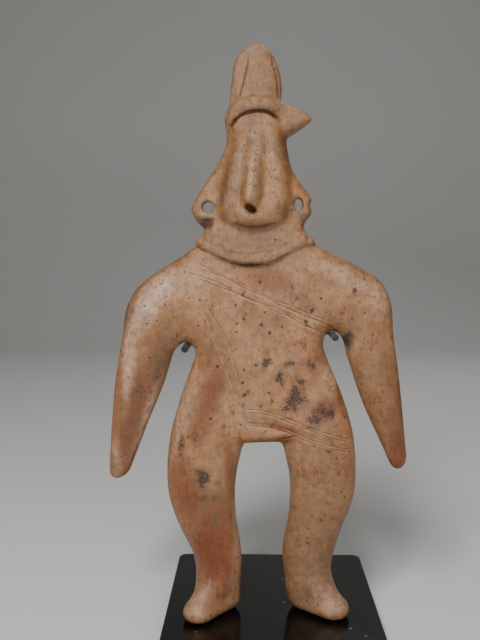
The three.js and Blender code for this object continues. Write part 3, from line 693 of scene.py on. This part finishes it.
# Pale patches, mostly painted highlight: the sheen on the shoulders and down the arm on the left of the view,
# on the cheeks, the collar's top, the cap and the waist on the right, with paler clay here and there, as on
# the feet
PALE_AND_HIGHLIGHT = [
    (-24.8, 190.0, 2.2, 1.3, -0.5, 0.8), (-49.6, 147.6, 5.2, 15, 0.65, 1.0),
    (-59.4, 122, 2.6, 24, 0.05, 0.8), (-52, 95, 1.8, 19, 0.35, 0.7), (-35, 96, 2.6, 17, 0.24, 0.5),
    (32.8, 114, 2.4, 7, -0.3, 0.6), (-9.4, 46, 1.8, 32, -0.03, 0.5), (9, 170.4, 9, 2.4, -0.3, 0.35),
    (40, 161, 14, 3.4, 0.45, 0.45), (-10, 212, 2.0, 18, 0.15, 0.4), (6.8, 211, 2.8, 19, -0.12, 0.25),
    (-9, 250, 2, 9, 0.15, 0.4), (-1, 262, 6, 2, 0, 0.4), (-25, 8, 10, 10, 0.6, 0.3),
    (31, 10, 10, 10, -0.6, 0.4), (-11.4, 13, 3, 8, 0, 0.4), (-30, 158, 12, 6, -0.5, 0.35),
    (55, 151, 4.5, 8.5, -0.3, 0.5), (-66, 76, 2, 8, 0, 0.5),
]
# Soot patches; the one in the armpit on the right of the view, at x 41, is painted shade
DARK = [
    (4.3, 121.4, 2.5, 2.8, 0.3, 1), (15.7, 120.7, 3, 2.1, 0, 1), (24.6, 120.3, 2.6, 2.6, 0, 0.85),
    (9.8, 114.2, 2, 3, 0, 1), (19.6, 112.4, 2, 2.6, 0, 0.85), (11, 110.6, 1.2, 1, 0, 0.9),
    (18.2, 113.4, 2.2, 2.4, 0, 0.7), (17.7, 104.6, 4.2, 6, 0.45, 1.05), (13.4, 100.4, 3.4, 1.9, -0.3, 0.95),
    (17, 110, 2, 2, 0, 0.9), (-5.9, 106.6, 0.9, 2.4, 0.9, 1), (-7.4, 112, 0.8, 0.8, 0, 0.8),
    (28.6, 98.0, 7.6, 5.8, -0.5, 0.72), (31.8, 98.2, 3.4, 3.6, 0.3, 1.05), (26.8, 95, 3.6, 2.4, -0.3, 1),
    (-25.8, 67.3, 3.2, 4.2, 0.1, 1.05), (-29.6, 59.6, 1.8, 1.4, 0, 0.7), (-25.4, 58, 2.4, 1.6, 0, 0.7),
    (-20.3, 58.3, 1.8, 2, 0, 0.7), (-18.9, 64.5, 1.6, 1.8, 0, 0.6), (-35.2, 82, 1.6, 8, 0, 0.75),
    (-34.6, 70, 1.6, 2.4, 0, 0.55), (-29.2, 86, 2.6, 3.2, 0, 0.65), (-20.6, 99.3, 1, 1, 0, 0.8),
    (-11.4, 98, 1, 1.2, 0, 0.9), (-16, 91.4, 1.3, 1, 0.3, 0.9), (-17, 110, 2.4, 3, 0, 0.55),
    (-33, 97, 2, 6, 0, 0.45), (32.3, 79.9, 2, 1.1, 0.5, 0.9), (22.2, 70.4, 0.8, 0.7, 0, 0.8),
    (35.2, 63.9, 0.7, 0.9, 0, 0.8), (32.1, 56.2, 1.4, 1.4, 0, 0.6), (17.3, 51.8, 1.2, 1.4, 0, 0.6),
    (21, 163.5, 1.8, 1.8, 0, 0.6), (18.6, 129.5, 2.6, 2.6, 0, 0.5), (41.0, 131.4, 2.6, 3.6, 0.3, 1.1),
    (46.4, 117.5, 1.6, 6, 0, 0.45), (9, 141, 6, 3, -0.5, 0.5), (-4, 165.4, 5, 1.2, 0, 0.7),
    (-22, 124, 2, 6, 0.2, 0.45), (19.6, 187.4, 2.6, 1.4, 0, 0.5), (1, 145, 9, 9, 0, 0.3),
    (22, 146, 4, 3, -0.4, 0.6), (18, 151, 4, 3, 0, 0.4),
]

# Dark spots, [x, z, radius]
SPOTS = [
    (-12.5, 155.7, 0.5), (-6.7, 152.2, 0.7), (-10.1, 147.5, 0.55), (-6.4, 141.3, 0.75), (-9.7, 139.2, 0.45),
    (-9.9, 135.2, 0.5), (1.2, 138.7, 0.75), (2.9, 144.5, 0.65), (5.0, 134.8, 0.7), (10.8, 137.6, 0.55),
    (-3.2, 132.2, 0.55), (8.1, 131.6, 0.5), (-9.9, 127.6, 0.55), (-13.3, 122.8, 0.5), (-1.2, 119.9, 0.75),
    (-6.1, 117.8, 0.6), (-7.0, 112.1, 0.65), (5.3, 107.3, 0.65), (6.8, 103.4, 0.5), (1.5, 101.2, 0.5),
    (-18.6, 119.4, 0.7), (0.9, 158.0, 0.75), (10.1, 162.7, 0.5), (18.1, 150.7, 0.65), (43.6, 154.2, 0.9),
    (28.6, 150.6, 0.6), (-35.3, 145.8, 0.5), (-22.1, 95.2, 0.7), (25.9, 82.7, 0.6), (33.2, 86.0, 0.5),
    (-23.6, 114.9, 0.9), (24.1, 144.9, 0.8), (21.3, 140.2, 0.9),
]


def oval_distance(points, x, z, half_width, half_height, lean):
    """How far out each point lies in a leaning oval, seen from the front: 0 at its middle, 1 on its rim."""
    across = (points[:, 0] - x) * math.cos(lean) - (points[:, 2] - z) * math.sin(lean)
    up = (points[:, 0] - x) * math.sin(lean) + (points[:, 2] - z) * math.cos(lean)
    return np.sqrt((across / half_width)**2 + (up / half_height)**2)


def patches(points, table, soft, uneven=0.25, wavelength=16):
    """How strongly each point lies in the patches of a table: full inside an oval, fading across its rim."""
    total = np.zeros(len(points))
    uneven = uneven * ripple(*points.T, wavelength, seed=11)
    for x, z, half_width, half_height, lean, strength in table:
        out = oval_distance(points, x, z, half_width, half_height, lean) + uneven
        total = np.maximum(total, strength * (1 - smooth_step(1 - soft, 1 + soft, out)))
    return total


def tone_masks(points, normals, grooves, burrs):
    """The masks that the clay's material reads: patches seen from the front, and a plainer back."""
    front = smooth_step(-0.35, 0.2, -normals[:, 1])
    # Painted shade: away from the front the clay is painted a little ochre,
    # most so at the shoulders and least on the head
    edge = 0.3 + 0.5 * smooth_step(136, 154, points[:, 2]) - 0.68 * smooth_step(165, 185, points[:, 2])
    edge = edge * (1 - smooth_step(0.3, 0.95, -normals[:, 1]))
    spots = [(x, z, radius, radius, 0, 1) for x, z, radius in SPOTS]
    return {
        "ochre": np.maximum(patches(points, OCHRE_PATCHES, 0.8) * front, edge),
        "matte": patches(points, MATTE, 0.4) * front,
        "orange": patches(points, ORANGE, 0.75) * front,
        "pale": patches(points, PALE_AND_HIGHLIGHT, 0.8) * front,
        "shade": patches(points, SHADE_AND_DARKER_CLAY, 0.8) * front,
        "dark": patches(points, DARK, 0.7, 0.7, 4) * front,
        "spot": patches(points, spots, 0.6, 1.2, 1.7) * front,
        "groove": grooves,
        "burr": np.maximum(burrs, patches(points, NOSE_GLINT, 0.6) * front),
    }


def to_object(name, points, triangles, masks=None):
    """A named object from whole arrays, in metres in the part's frame, with its points' mask values."""
    mesh = bpy.data.meshes.new(name)
    mesh.vertices.add(len(points))
    mesh.vertices.foreach_set("co", np.ascontiguousarray(points, np.float32).ravel())
    mesh.loops.add(triangles.size)
    mesh.loops.foreach_set("vertex_index", np.ascontiguousarray(triangles, np.int32).ravel())
    mesh.polygons.add(len(triangles))
    mesh.polygons.foreach_set("loop_start", np.arange(0, triangles.size, 3, dtype=np.int32))
    mesh.polygons.foreach_set("use_smooth", np.ones(len(triangles), bool))
    mesh.update(calc_edges=True)
    for mask, values in (masks or {}).items():
        mesh.attributes.new(mask, "FLOAT", "POINT").data.foreach_set("value", values.astype(np.float32))
    piece = bpy.data.objects.new(name, mesh)
    bpy.context.scene.collection.objects.link(piece)
    return piece


def grid_axis(low, high):
    """Places a cell apart from low to just past high."""
    return np.arange(low, high + CELL, CELL)


def figurine():
    """The figure's fine surface: the zero surface of its field, made finer along the drawn lines, carved, and
    kept inside the solid's box."""
    xs, ys, zs = grid_axis(*GRID_X), grid_axis(*GRID_Y), grid_axis(*GRID_Z)
    x, y, z = xs[:, None, None], ys[None, :, None], zs[None, None, :]
    field = figure_field(x, y, z)
    points, triangles = surface_of(field, (xs[0], ys[0], zs[0]), CELL)
    points = relaxed(points, triangles, RELAX_PASSES)
    fine = drawn_paths()
    deep = [(smooth_path(line, LINE_STEP), width, depth) for line, width, depth in CUTS]
    nose = np.array([[NOSE_TOP[0], NOSE_TOP[2]], [NOSE_TIP[0], NOSE_TIP[2]]])
    spots = [np.array([[x - radius, z], [x + radius, z]]) for x, z, radius in SPOTS]
    marks = [line for line, *_ in fine + deep] + [nose] + spots
    for reach in SPLIT_REACHES:
        points, triangles = split_edges(points, triangles, lambda middles: near_line(middles, marks, reach))
    normals = point_normals(points, triangles)
    points, grooves, burrs = carve(points, normals, fine, deep)
    masks = tone_masks(points, point_normals(points, triangles), grooves, burrs)
    placed = (points + np.array([FIGURE_X, FIGURE_Y, PLATE_TOP])) * MM
    low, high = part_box("figurine")
    placed = np.clip(placed, np.array(low), np.array(high))
    return to_object("clay_figure", placed, triangles, masks)


# Materials

def linear(red, green, blue):
    """A colour as the eye names it, from 0 to 255, turned into light."""
    shares = (red / 255, green / 255, blue / 255)
    light = [((share + 0.055) / 1.055)**2.4 if share > 0.0405 else share / 12.92 for share in shares]
    return (*light, 1)


def feed(tree, socket, value):
    """Links another node's output to a socket, or sets the socket's own value."""
    if isinstance(value, bpy.types.NodeSocket):
        tree.links.new(value, socket)
    else:
        socket.default_value = value


def add_node(tree, kind, inputs=None, **settings):
    """A node with its settings and inputs; an input is a value or another node's output."""
    node = tree.nodes.new(kind)
    for name, value in settings.items():
        setattr(node, name, value)
    for name, value in (inputs or {}).items():
        feed(tree, node.inputs[name], value)
    return node


def math_node(tree, operation, first, second=0.0, third=0.0):
    """A sum, product or other operation on two or three values."""
    inputs = {0: first, 1: second, 2: third}
    return add_node(tree, "ShaderNodeMath", inputs, operation=operation).outputs[0]


def times(tree, first, second):
    return math_node(tree, "MULTIPLY", first, second)


def scaled(tree, value, factor, offset):
    """A value times a factor, plus an offset."""
    return math_node(tree, "MULTIPLY_ADD", value, factor, offset)


def mix_colour(tree, share, first, second, blend="MIX"):
    """The first colour, with a share of the second blended in."""
    node = tree.nodes.new("ShaderNodeMix")
    node.data_type = "RGBA"
    node.blend_type = blend
    node.clamp_factor = True
    for index, value in ((0, share), (6, first), (7, second)):
        feed(tree, node.inputs[index], value)
    return node.outputs[2]


def step_node(tree, value, low, high):
    """The same smooth step as on the points: 0 at low and 1 at high."""
    return add_node(tree, "ShaderNodeMapRange", {"Value": value, "From Min": low, "From Max": high},
                    interpolation_type="SMOOTHSTEP").outputs["Result"]


def noise_node(tree, vector, scale, detail=4.0, roughness=0.55):
    """Noise between 0 and 1, with its scale in cells to a metre."""
    inputs = {"Vector": vector, "Scale": scale, "Detail": detail, "Roughness": roughness}
    return add_node(tree, "ShaderNodeTexNoise", inputs).outputs["Fac"]


def new_group(name, inputs, outputs):
    """An empty shader group with its sockets, and its input and output nodes."""
    group = bpy.data.node_groups.new(name, "ShaderNodeTree")
    for socket, (kind, value) in inputs.items():
        made = group.interface.new_socket(socket, in_out="INPUT", socket_type=kind)
        if value is not None:
            made.default_value = value
    for socket, kind in outputs.items():
        group.interface.new_socket(socket, in_out="OUTPUT", socket_type=kind)
    return group, group.nodes.new("NodeGroupInput"), group.nodes.new("NodeGroupOutput")


def grain_group():
    """Fine grain: two sizes of noise added, as a height."""
    group, source, result = new_group(
        "fine grain", {"Vector": ("NodeSocketVector", None), "Size": ("NodeSocketFloat", 1500.0)},
        {"Height": "NodeSocketFloat"})
    coarse = noise_node(group, source.outputs["Vector"], source.outputs["Size"], detail=3)
    finer = times(group, source.outputs["Size"], 3.1)
    fine = noise_node(group, source.outputs["Vector"], finer, detail=2)
    group.links.new(scaled(group, fine, 0.5, coarse), result.inputs["Height"])
    return group


def specks_group():
    """Specks: where a rough noise rises above a threshold that falls as the density rises."""
    group, source, result = new_group(
        "specks", {"Vector": ("NodeSocketVector", None), "Size": ("NodeSocketFloat", 900.0),
                   "Density": ("NodeSocketFloat", 0.5)}, {"Mask": "NodeSocketFloat"})
    noise = noise_node(group, source.outputs["Vector"], source.outputs["Size"], detail=7, roughness=0.68)
    reach = {"Value": source.outputs["Density"], "To Min": 0.74, "To Max": 0.36}
    threshold = add_node(group, "ShaderNodeMapRange", reach).outputs["Result"]
    over = math_node(group, "SUBTRACT", noise, threshold)
    group.links.new(step_node(group, over, -0.02, 0.06), result.inputs["Mask"])
    return group


def strokes_group():
    """Burnishing strokes: noise drawn out along the height, as a mask."""
    group, source, result = new_group(
        "strokes", {"Vector": ("NodeSocketVector", None), "Size": ("NodeSocketFloat", 420.0)},
        {"Mask": "NodeSocketFloat"})
    drawn = add_node(group, "ShaderNodeMapping", {"Vector": source.outputs["Vector"], "Scale": (1, 1, 0.07)})
    noise = noise_node(group, drawn.outputs["Vector"], source.outputs["Size"], detail=4, roughness=0.6)
    group.links.new(step_node(group, noise, 0.35, 0.68), result.inputs["Mask"])
    return group


def dust_group():
    """Dust: the cores of scattered cells, of which only the chance few show."""
    group, source, result = new_group(
        "dust", {"Vector": ("NodeSocketVector", None), "Size": ("NodeSocketFloat", 160.0),
                 "Share": ("NodeSocketFloat", 0.2)}, {"Mask": "NodeSocketFloat"})
    inputs = {"Vector": source.outputs["Vector"], "Scale": source.outputs["Size"], "Randomness": 1.0}
    cells = add_node(group, "ShaderNodeTexVoronoi", inputs)
    core = step_node(group, cells.outputs["Distance"], 0.16, 0.05)
    chance = add_node(group, "ShaderNodeSeparateColor", {"Color": cells.outputs["Color"]}).outputs["Red"]
    shown = math_node(group, "LESS_THAN", chance, source.outputs["Share"])
    group.links.new(times(group, core, shown), result.inputs["Mask"])
    return group


def place_group(tree, group, inputs):
    """A shader group placed in a material with its own values; gives the group's output."""
    return add_node(tree, "ShaderNodeGroup", inputs, node_tree=group).outputs[0]


def new_material(name):
    """An empty material: itself, its node tree, its shader and the Object coordinates."""
    material = bpy.data.materials.new(name)
    material.use_nodes = True
    tree = material.node_tree
    shader = next(node for node in tree.nodes if node.type == "BSDF_PRINCIPLED")
    where = tree.nodes.new("ShaderNodeTexCoord").outputs["Object"]
    return material, tree, shader, where


def bump(tree, shader, height, strength, distance):
    """Relief from a height, where 1 stands for the distance in metres."""
    node = add_node(tree, "ShaderNodeBump", {"Height": height, "Strength": strength, "Distance": distance})
    tree.links.new(node.outputs["Normal"], shader.inputs["Normal"])


TAN = linear(154, 106, 66)
BUFF = linear(172, 126, 88)
ROSE = linear(164, 108, 76)
STONE = linear(150, 121, 93)
PALE_AND_HIGHLIGHT_MAUVE = linear(196, 162, 138)
OCHRE = linear(122, 78, 42)
ORANGE_RED = linear(122, 58, 24)
UMBER = linear(96, 74, 52)
SOOT = linear(34, 34, 30)
PEPPER = linear(46, 36, 30)
BURR_HIGHLIGHT_PALE = linear(208, 172, 130)
GROOVE_SHADE_BROWN = linear(66, 43, 26)
DUST_GREY = linear(120, 118, 112)
DUST_PALE = linear(190, 190, 186)
CLAY_MASKS = ("ochre", "orange", "pale", "shade", "dark", "spot", "groove", "burr", "matte")


def shaded_by(tree, colour, mask, low, high):
    """A colour made darker where a mask is low and lighter where it is high."""
    reach = {"Value": mask, "From Min": 0.3, "From Max": 0.7, "To Min": low, "To Max": high}
    level = add_node(tree, "ShaderNodeMapRange", reach).outputs["Result"]
    grey = add_node(tree, "ShaderNodeCombineColor", {"Red": level, "Green": level, "Blue": level})
    return mix_colour(tree, 1.0, colour, grey.outputs["Color"], blend="MULTIPLY")


def clay_clouds(tree, broad, other):
    """Buff over tan in broad clouds, with rose where another noise is high and stone grey where it is low."""
    colour = mix_colour(tree, step_node(tree, broad, 0.36, 0.62), TAN, BUFF)
    colour = mix_colour(tree, times(tree, step_node(tree, other, 0.5, 0.68), 0.6), colour, ROSE)
    return mix_colour(tree, times(tree, step_node(tree, other, 0.48, 0.3), 0.6), colour, STONE)


def clay_patches(tree, colour, mask, mottle, strokes):
    """The ochre, pale and orange-red patches, each broken up by the mottle or the strokes, and then the
    darker and the matte ones. The pale ones are mostly painted highlight; the darker, ochre and
    orange-red ones hold painted shade too."""
    uneven = scaled(tree, mottle, 1.3, 0.35)
    smoother = scaled(tree, mottle, 0.6, 0.6)
    streaked = times(tree, uneven, scaled(tree, strokes, 0.7, 0.6))
    broken = (("ochre", uneven, 0.85, OCHRE), ("pale", smoother, 0.9, PALE_AND_HIGHLIGHT_MAUVE),
              ("orange", streaked, 1.25, ORANGE_RED))
    for name, texture, strength, tint in broken:
        colour = mix_colour(tree, times(tree, times(tree, mask[name], texture), strength), colour, tint)
    for name, strength, tint in (("shade", 0.5, UMBER), ("matte", 0.45, STONE)):
        colour = mix_colour(tree, times(tree, mask[name], strength), colour, tint)
    return colour


def soot_share(tree, groups, where, dark):
    """Soot: rough specks that thicken where the dark patches are strong, over a fainter halo; in the armpit
    on the right of the view it is painted shade.
    """
    inputs = {"Vector": where, "Size": 900.0, "Density": times(tree, dark, 0.88)}
    specks = place_group(tree, groups["specks"], inputs)
    return math_node(tree, "MAXIMUM", times(tree, specks, 0.84), times(tree, dark, 0.46))


def freckle_share(tree, groups, where, mask, broad, other, mottle):
    """Freckles: specks, fewer where the clay is matte, two sizes of scattered spots, and the placed spots,
    whose rims the mottle makes ragged."""
    density = scaled(tree, step_node(tree, other, 0.35, 0.65), 0.16, 0.25)
    density = scaled(tree, mask["matte"], -0.08, density)
    total = place_group(tree, groups["specks"], {"Vector": where, "Size": 640.0, "Density": density})
    share = scaled(tree, step_node(tree, broad, 0.4, 0.6), 0.3, 0.24)
    small = place_group(tree, groups["dust"], {"Vector": where, "Size": 380.0, "Share": share})
    large = place_group(tree, groups["dust"], {"Vector": where, "Size": 200.0, "Share": 0.3})
    placed = step_node(tree, scaled(tree, mottle, 2.0, mask["spot"]), 1.34, 1.8)
    for kind in (small, large, placed):
        total = math_node(tree, "MAXIMUM", total, kind)
    return total


def clay_material(groups):
    """Burnished clay: buff, tan, rose and stone-grey clouds, paler, ochre and orange-red patches,
    burnishing strokes, soot in patches, freckles, and brown in the grooves. Painted highlight lies in the
    paler patches and on the burrs, and painted shade in the grooves and hollows, at the edges and in the
    darker, ochre and orange-red patches."""
    material, tree, shader, where = new_material("burnished clay")
    mask = {}
    for name in CLAY_MASKS:
        mask[name] = add_node(tree, "ShaderNodeAttribute", attribute_name=name).outputs["Fac"]
    broad = noise_node(tree, where, 48, detail=7, roughness=0.6)
    shifted = add_node(tree, "ShaderNodeMapping", {"Vector": where, "Location": (3, 7, 5)}).outputs[0]
    other = noise_node(tree, shifted, 75, detail=7, roughness=0.6)
    mottle = noise_node(tree, where, 330, detail=7, roughness=0.66)
    strokes = place_group(tree, groups["strokes"], {"Vector": where, "Size": 900.0})
    soot = soot_share(tree, groups, where, mask["dark"])
    freckles = freckle_share(tree, groups, where, mask, broad, other, mottle)
    colour = clay_patches(tree, clay_clouds(tree, broad, other), mask, mottle, strokes)
    colour = shaded_by(tree, colour, mottle, 0.62, 1.28)
    colour = shaded_by(tree, colour, strokes, 0.94, 1.05)
    colour = mix_colour(tree, soot, colour, SOOT)
    colour = mix_colour(tree, times(tree, freckles, 0.85), colour, PEPPER)
    # Painted highlight: pale along the burrs below the drawn lines and in the glint down the nose
    colour = mix_colour(tree, times(tree, mask["burr"], 0.6), colour, BURR_HIGHLIGHT_PALE)
    # Painted shade: brown in the grooves, pits and hollows
    colour = mix_colour(tree, times(tree, mask["groove"], 0.8), colour, GROOVE_SHADE_BROWN)
    feed(tree, shader.inputs["Base Color"], colour)
    rough = scaled(tree, mask["matte"], 0.22, scaled(tree, mottle, 0.36, 0.26))
    feed(tree, shader.inputs["Roughness"], scaled(tree, soot, 0.35, rough))
    grain = place_group(tree, groups["grain"], {"Vector": where, "Size": 1500.0})
    height = scaled(tree, strokes, 0.25, grain)
    height = scaled(tree, mottle, 0.9, height)
    height = scaled(tree, freckles, -0.8, height)
    height = times(tree, height, scaled(tree, mask["matte"], 1.2, 1.0))
    bump(tree, shader, height, 0.7, 0.0002)
    return material


def plate_material(groups):
    """Polished black, with grey dust and the faintest cloudiness in its gloss."""
    material, tree, shader, where = new_material("polished black plate")
    dust = place_group(tree, groups["dust"], {"Vector": where, "Size": 170.0, "Share": 0.16})
    clouds = noise_node(tree, where, 60, detail=6)
    colour = mix_colour(tree, step_node(tree, clouds, 0.4, 0.7), linear(8, 8, 9), linear(13, 13, 14))
    feed(tree, shader.inputs["Base Color"], mix_colour(tree, times(tree, dust, 0.5), colour, DUST_GREY))
    feed(tree, shader.inputs["Roughness"], scaled(tree, dust, 0.5, scaled(tree, clouds, 0.12, 0.05)))
    grain = place_group(tree, groups["grain"], {"Vector": where, "Size": 700.0})
    bump(tree, shader, grain, 0.05, 0.00005)
    return material


def rod_material(groups):
    """Satin black paint on wire, with worn flecks."""
    material, tree, shader, where = new_material("satin black wire")
    worn = place_group(tree, groups["specks"], {"Vector": where, "Size": 380.0, "Density": 0.2})
    colour = mix_colour(tree, times(tree, worn, 0.5), linear(24, 24, 26), linear(92, 92, 94))
    feed(tree, shader.inputs["Base Color"], colour)
    feed(tree, shader.inputs["Roughness"], scaled(tree, worn, -0.15, 0.42))
    grain = place_group(tree, groups["grain"], {"Vector": where, "Size": 1800.0})
    bump(tree, shader, grain, 0.15, 0.00005)
    return material


def sleeve_material(groups):
    """Smooth grey sleeving with a little dust."""
    material, tree, shader, where = new_material("grey sleeving")
    dust = place_group(tree, groups["dust"], {"Vector": where, "Size": 700.0, "Share": 0.3})
    clouds = noise_node(tree, where, 500, detail=3)
    colour = mix_colour(tree, clouds, linear(50, 56, 61), linear(78, 85, 91))
    feed(tree, shader.inputs["Base Color"], mix_colour(tree, times(tree, dust, 0.6), colour, DUST_PALE))
    feed(tree, shader.inputs["Roughness"], scaled(tree, clouds, 0.15, 0.22))
    return material


def floor_material():
    """Plain and pale, with barely seen clouds."""
    material, tree, shader, where = new_material("pale floor")
    clouds = noise_node(tree, where, 3, detail=2)
    colour = mix_colour(tree, clouds, linear(226, 225, 222), linear(232, 231, 228))
    feed(tree, shader.inputs["Base Color"], colour)
    shader.inputs["Roughness"].default_value = 0.8
    return material


def dress(node_name, material):
    """A carried-over solid gets its finish in its own material slot."""
    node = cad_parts[node_name]
    if node.material_slots:
        node.material_slots[0].material = material
    else:
        node.data.materials.append(material)


# Floor, lights and camera

FIGURE_MIDDLE = (-0.005, -0.01, 0.16)
# Lamps, [name, place, width, watts]
LAMPS = [
    ("key", (-0.2, -0.64, 0.74), 0.26, 7.9), ("fill", (0.25, -0.9, 0.25), 0.4, 2.1),
    ("back light", (0.25, 0.8, 0.85), 0.5, 2.0),
]
ROOM_COLOUR = (1, 0.97, 0.93, 1)
ROOM_STRENGTH = 0.06


def floor():
    """A level sheet that curves up behind: its height is 0, then follows a quarter circle, then a wall."""
    half_width, front, bend_start, bend, wall = 2.4, -1.4, 1.0, 0.5, 1.8
    turn = np.linspace(0, np.pi / 2, 20)
    curve = np.stack([bend_start + bend * np.sin(turn), bend - bend * np.cos(turn)], axis=1)
    profile = np.vstack([[front, 0], curve, [bend_start + bend, wall]])
    points = np.array([[side, y, z] for side in (-half_width, half_width) for y, z in profile])
    count = len(profile)
    low = np.arange(count - 1)
    first = np.stack([low, low + count, low + count + 1], axis=1)
    second = np.stack([low, low + count + 1, low + 1], axis=1)
    return to_object("floor", points, np.vstack([first, second]))


def area_light(name, place, size, watts):
    """A square lamp that faces the figure's middle."""
    light = bpy.data.lights.new(name, "AREA")
    light.shape = "RECTANGLE"
    light.size = size
    light.size_y = size
    light.energy = watts
    lamp = bpy.data.objects.new(name, light)
    lamp.location = place
    direction = np.array(FIGURE_MIDDLE) - np.array(place)
    lamp.rotation_euler = (math.atan2(np.hypot(direction[0], direction[1]), -direction[2]), 0,
                           math.atan2(-direction[0], direction[1]))
    bpy.context.scene.collection.objects.link(lamp)


def lights():
    """The lamps, and a dim warm room all round."""
    for lamp in LAMPS:
        area_light(*lamp)
    world = bpy.data.worlds.new("soft room")
    world.use_nodes = True
    background = world.node_tree.nodes["Background"]
    background.inputs["Color"].default_value = ROOM_COLOUR
    background.inputs["Strength"].default_value = ROOM_STRENGTH
    bpy.context.scene.world = world


def camera():
    """The photograph's view, with nothing out of focus."""
    lens = bpy.data.cameras.new("camera")
    lens.sensor_fit = "AUTO"
    lens.sensor_width = SENSOR
    lens.lens = SENSOR * LENS_PIXELS / PICTURE_HEIGHT
    lens.clip_start = 0.01
    seat = bpy.data.objects.new("camera", lens)
    x, y, z = CAMERA_PLACE
    seat.location = (x * MM, y * MM, (z + PLATE_TOP) * MM)
    seat.rotation_euler = (math.pi / 2 - CAMERA_PITCH, 0, CAMERA_YAW)
    bpy.context.scene.collection.objects.link(seat)
    bpy.context.scene.camera = seat


camera()
lights()
ground = floor()
ground.data.materials.append(floor_material())

effects = {
    "grain": grain_group(),
    "specks": specks_group(),
    "strokes": strokes_group(),
    "dust": dust_group(),
}
figure = figurine()
figure.data.materials.append(clay_material(effects))
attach(figure, "root")
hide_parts("figurine")
dress("stand_plate", plate_material(effects))
for side in ("left", "right"):
    dress(f"stand_rod_{side}", rod_material(effects))
    dress(f"hook_sleeve_{side}", sleeve_material(effects))
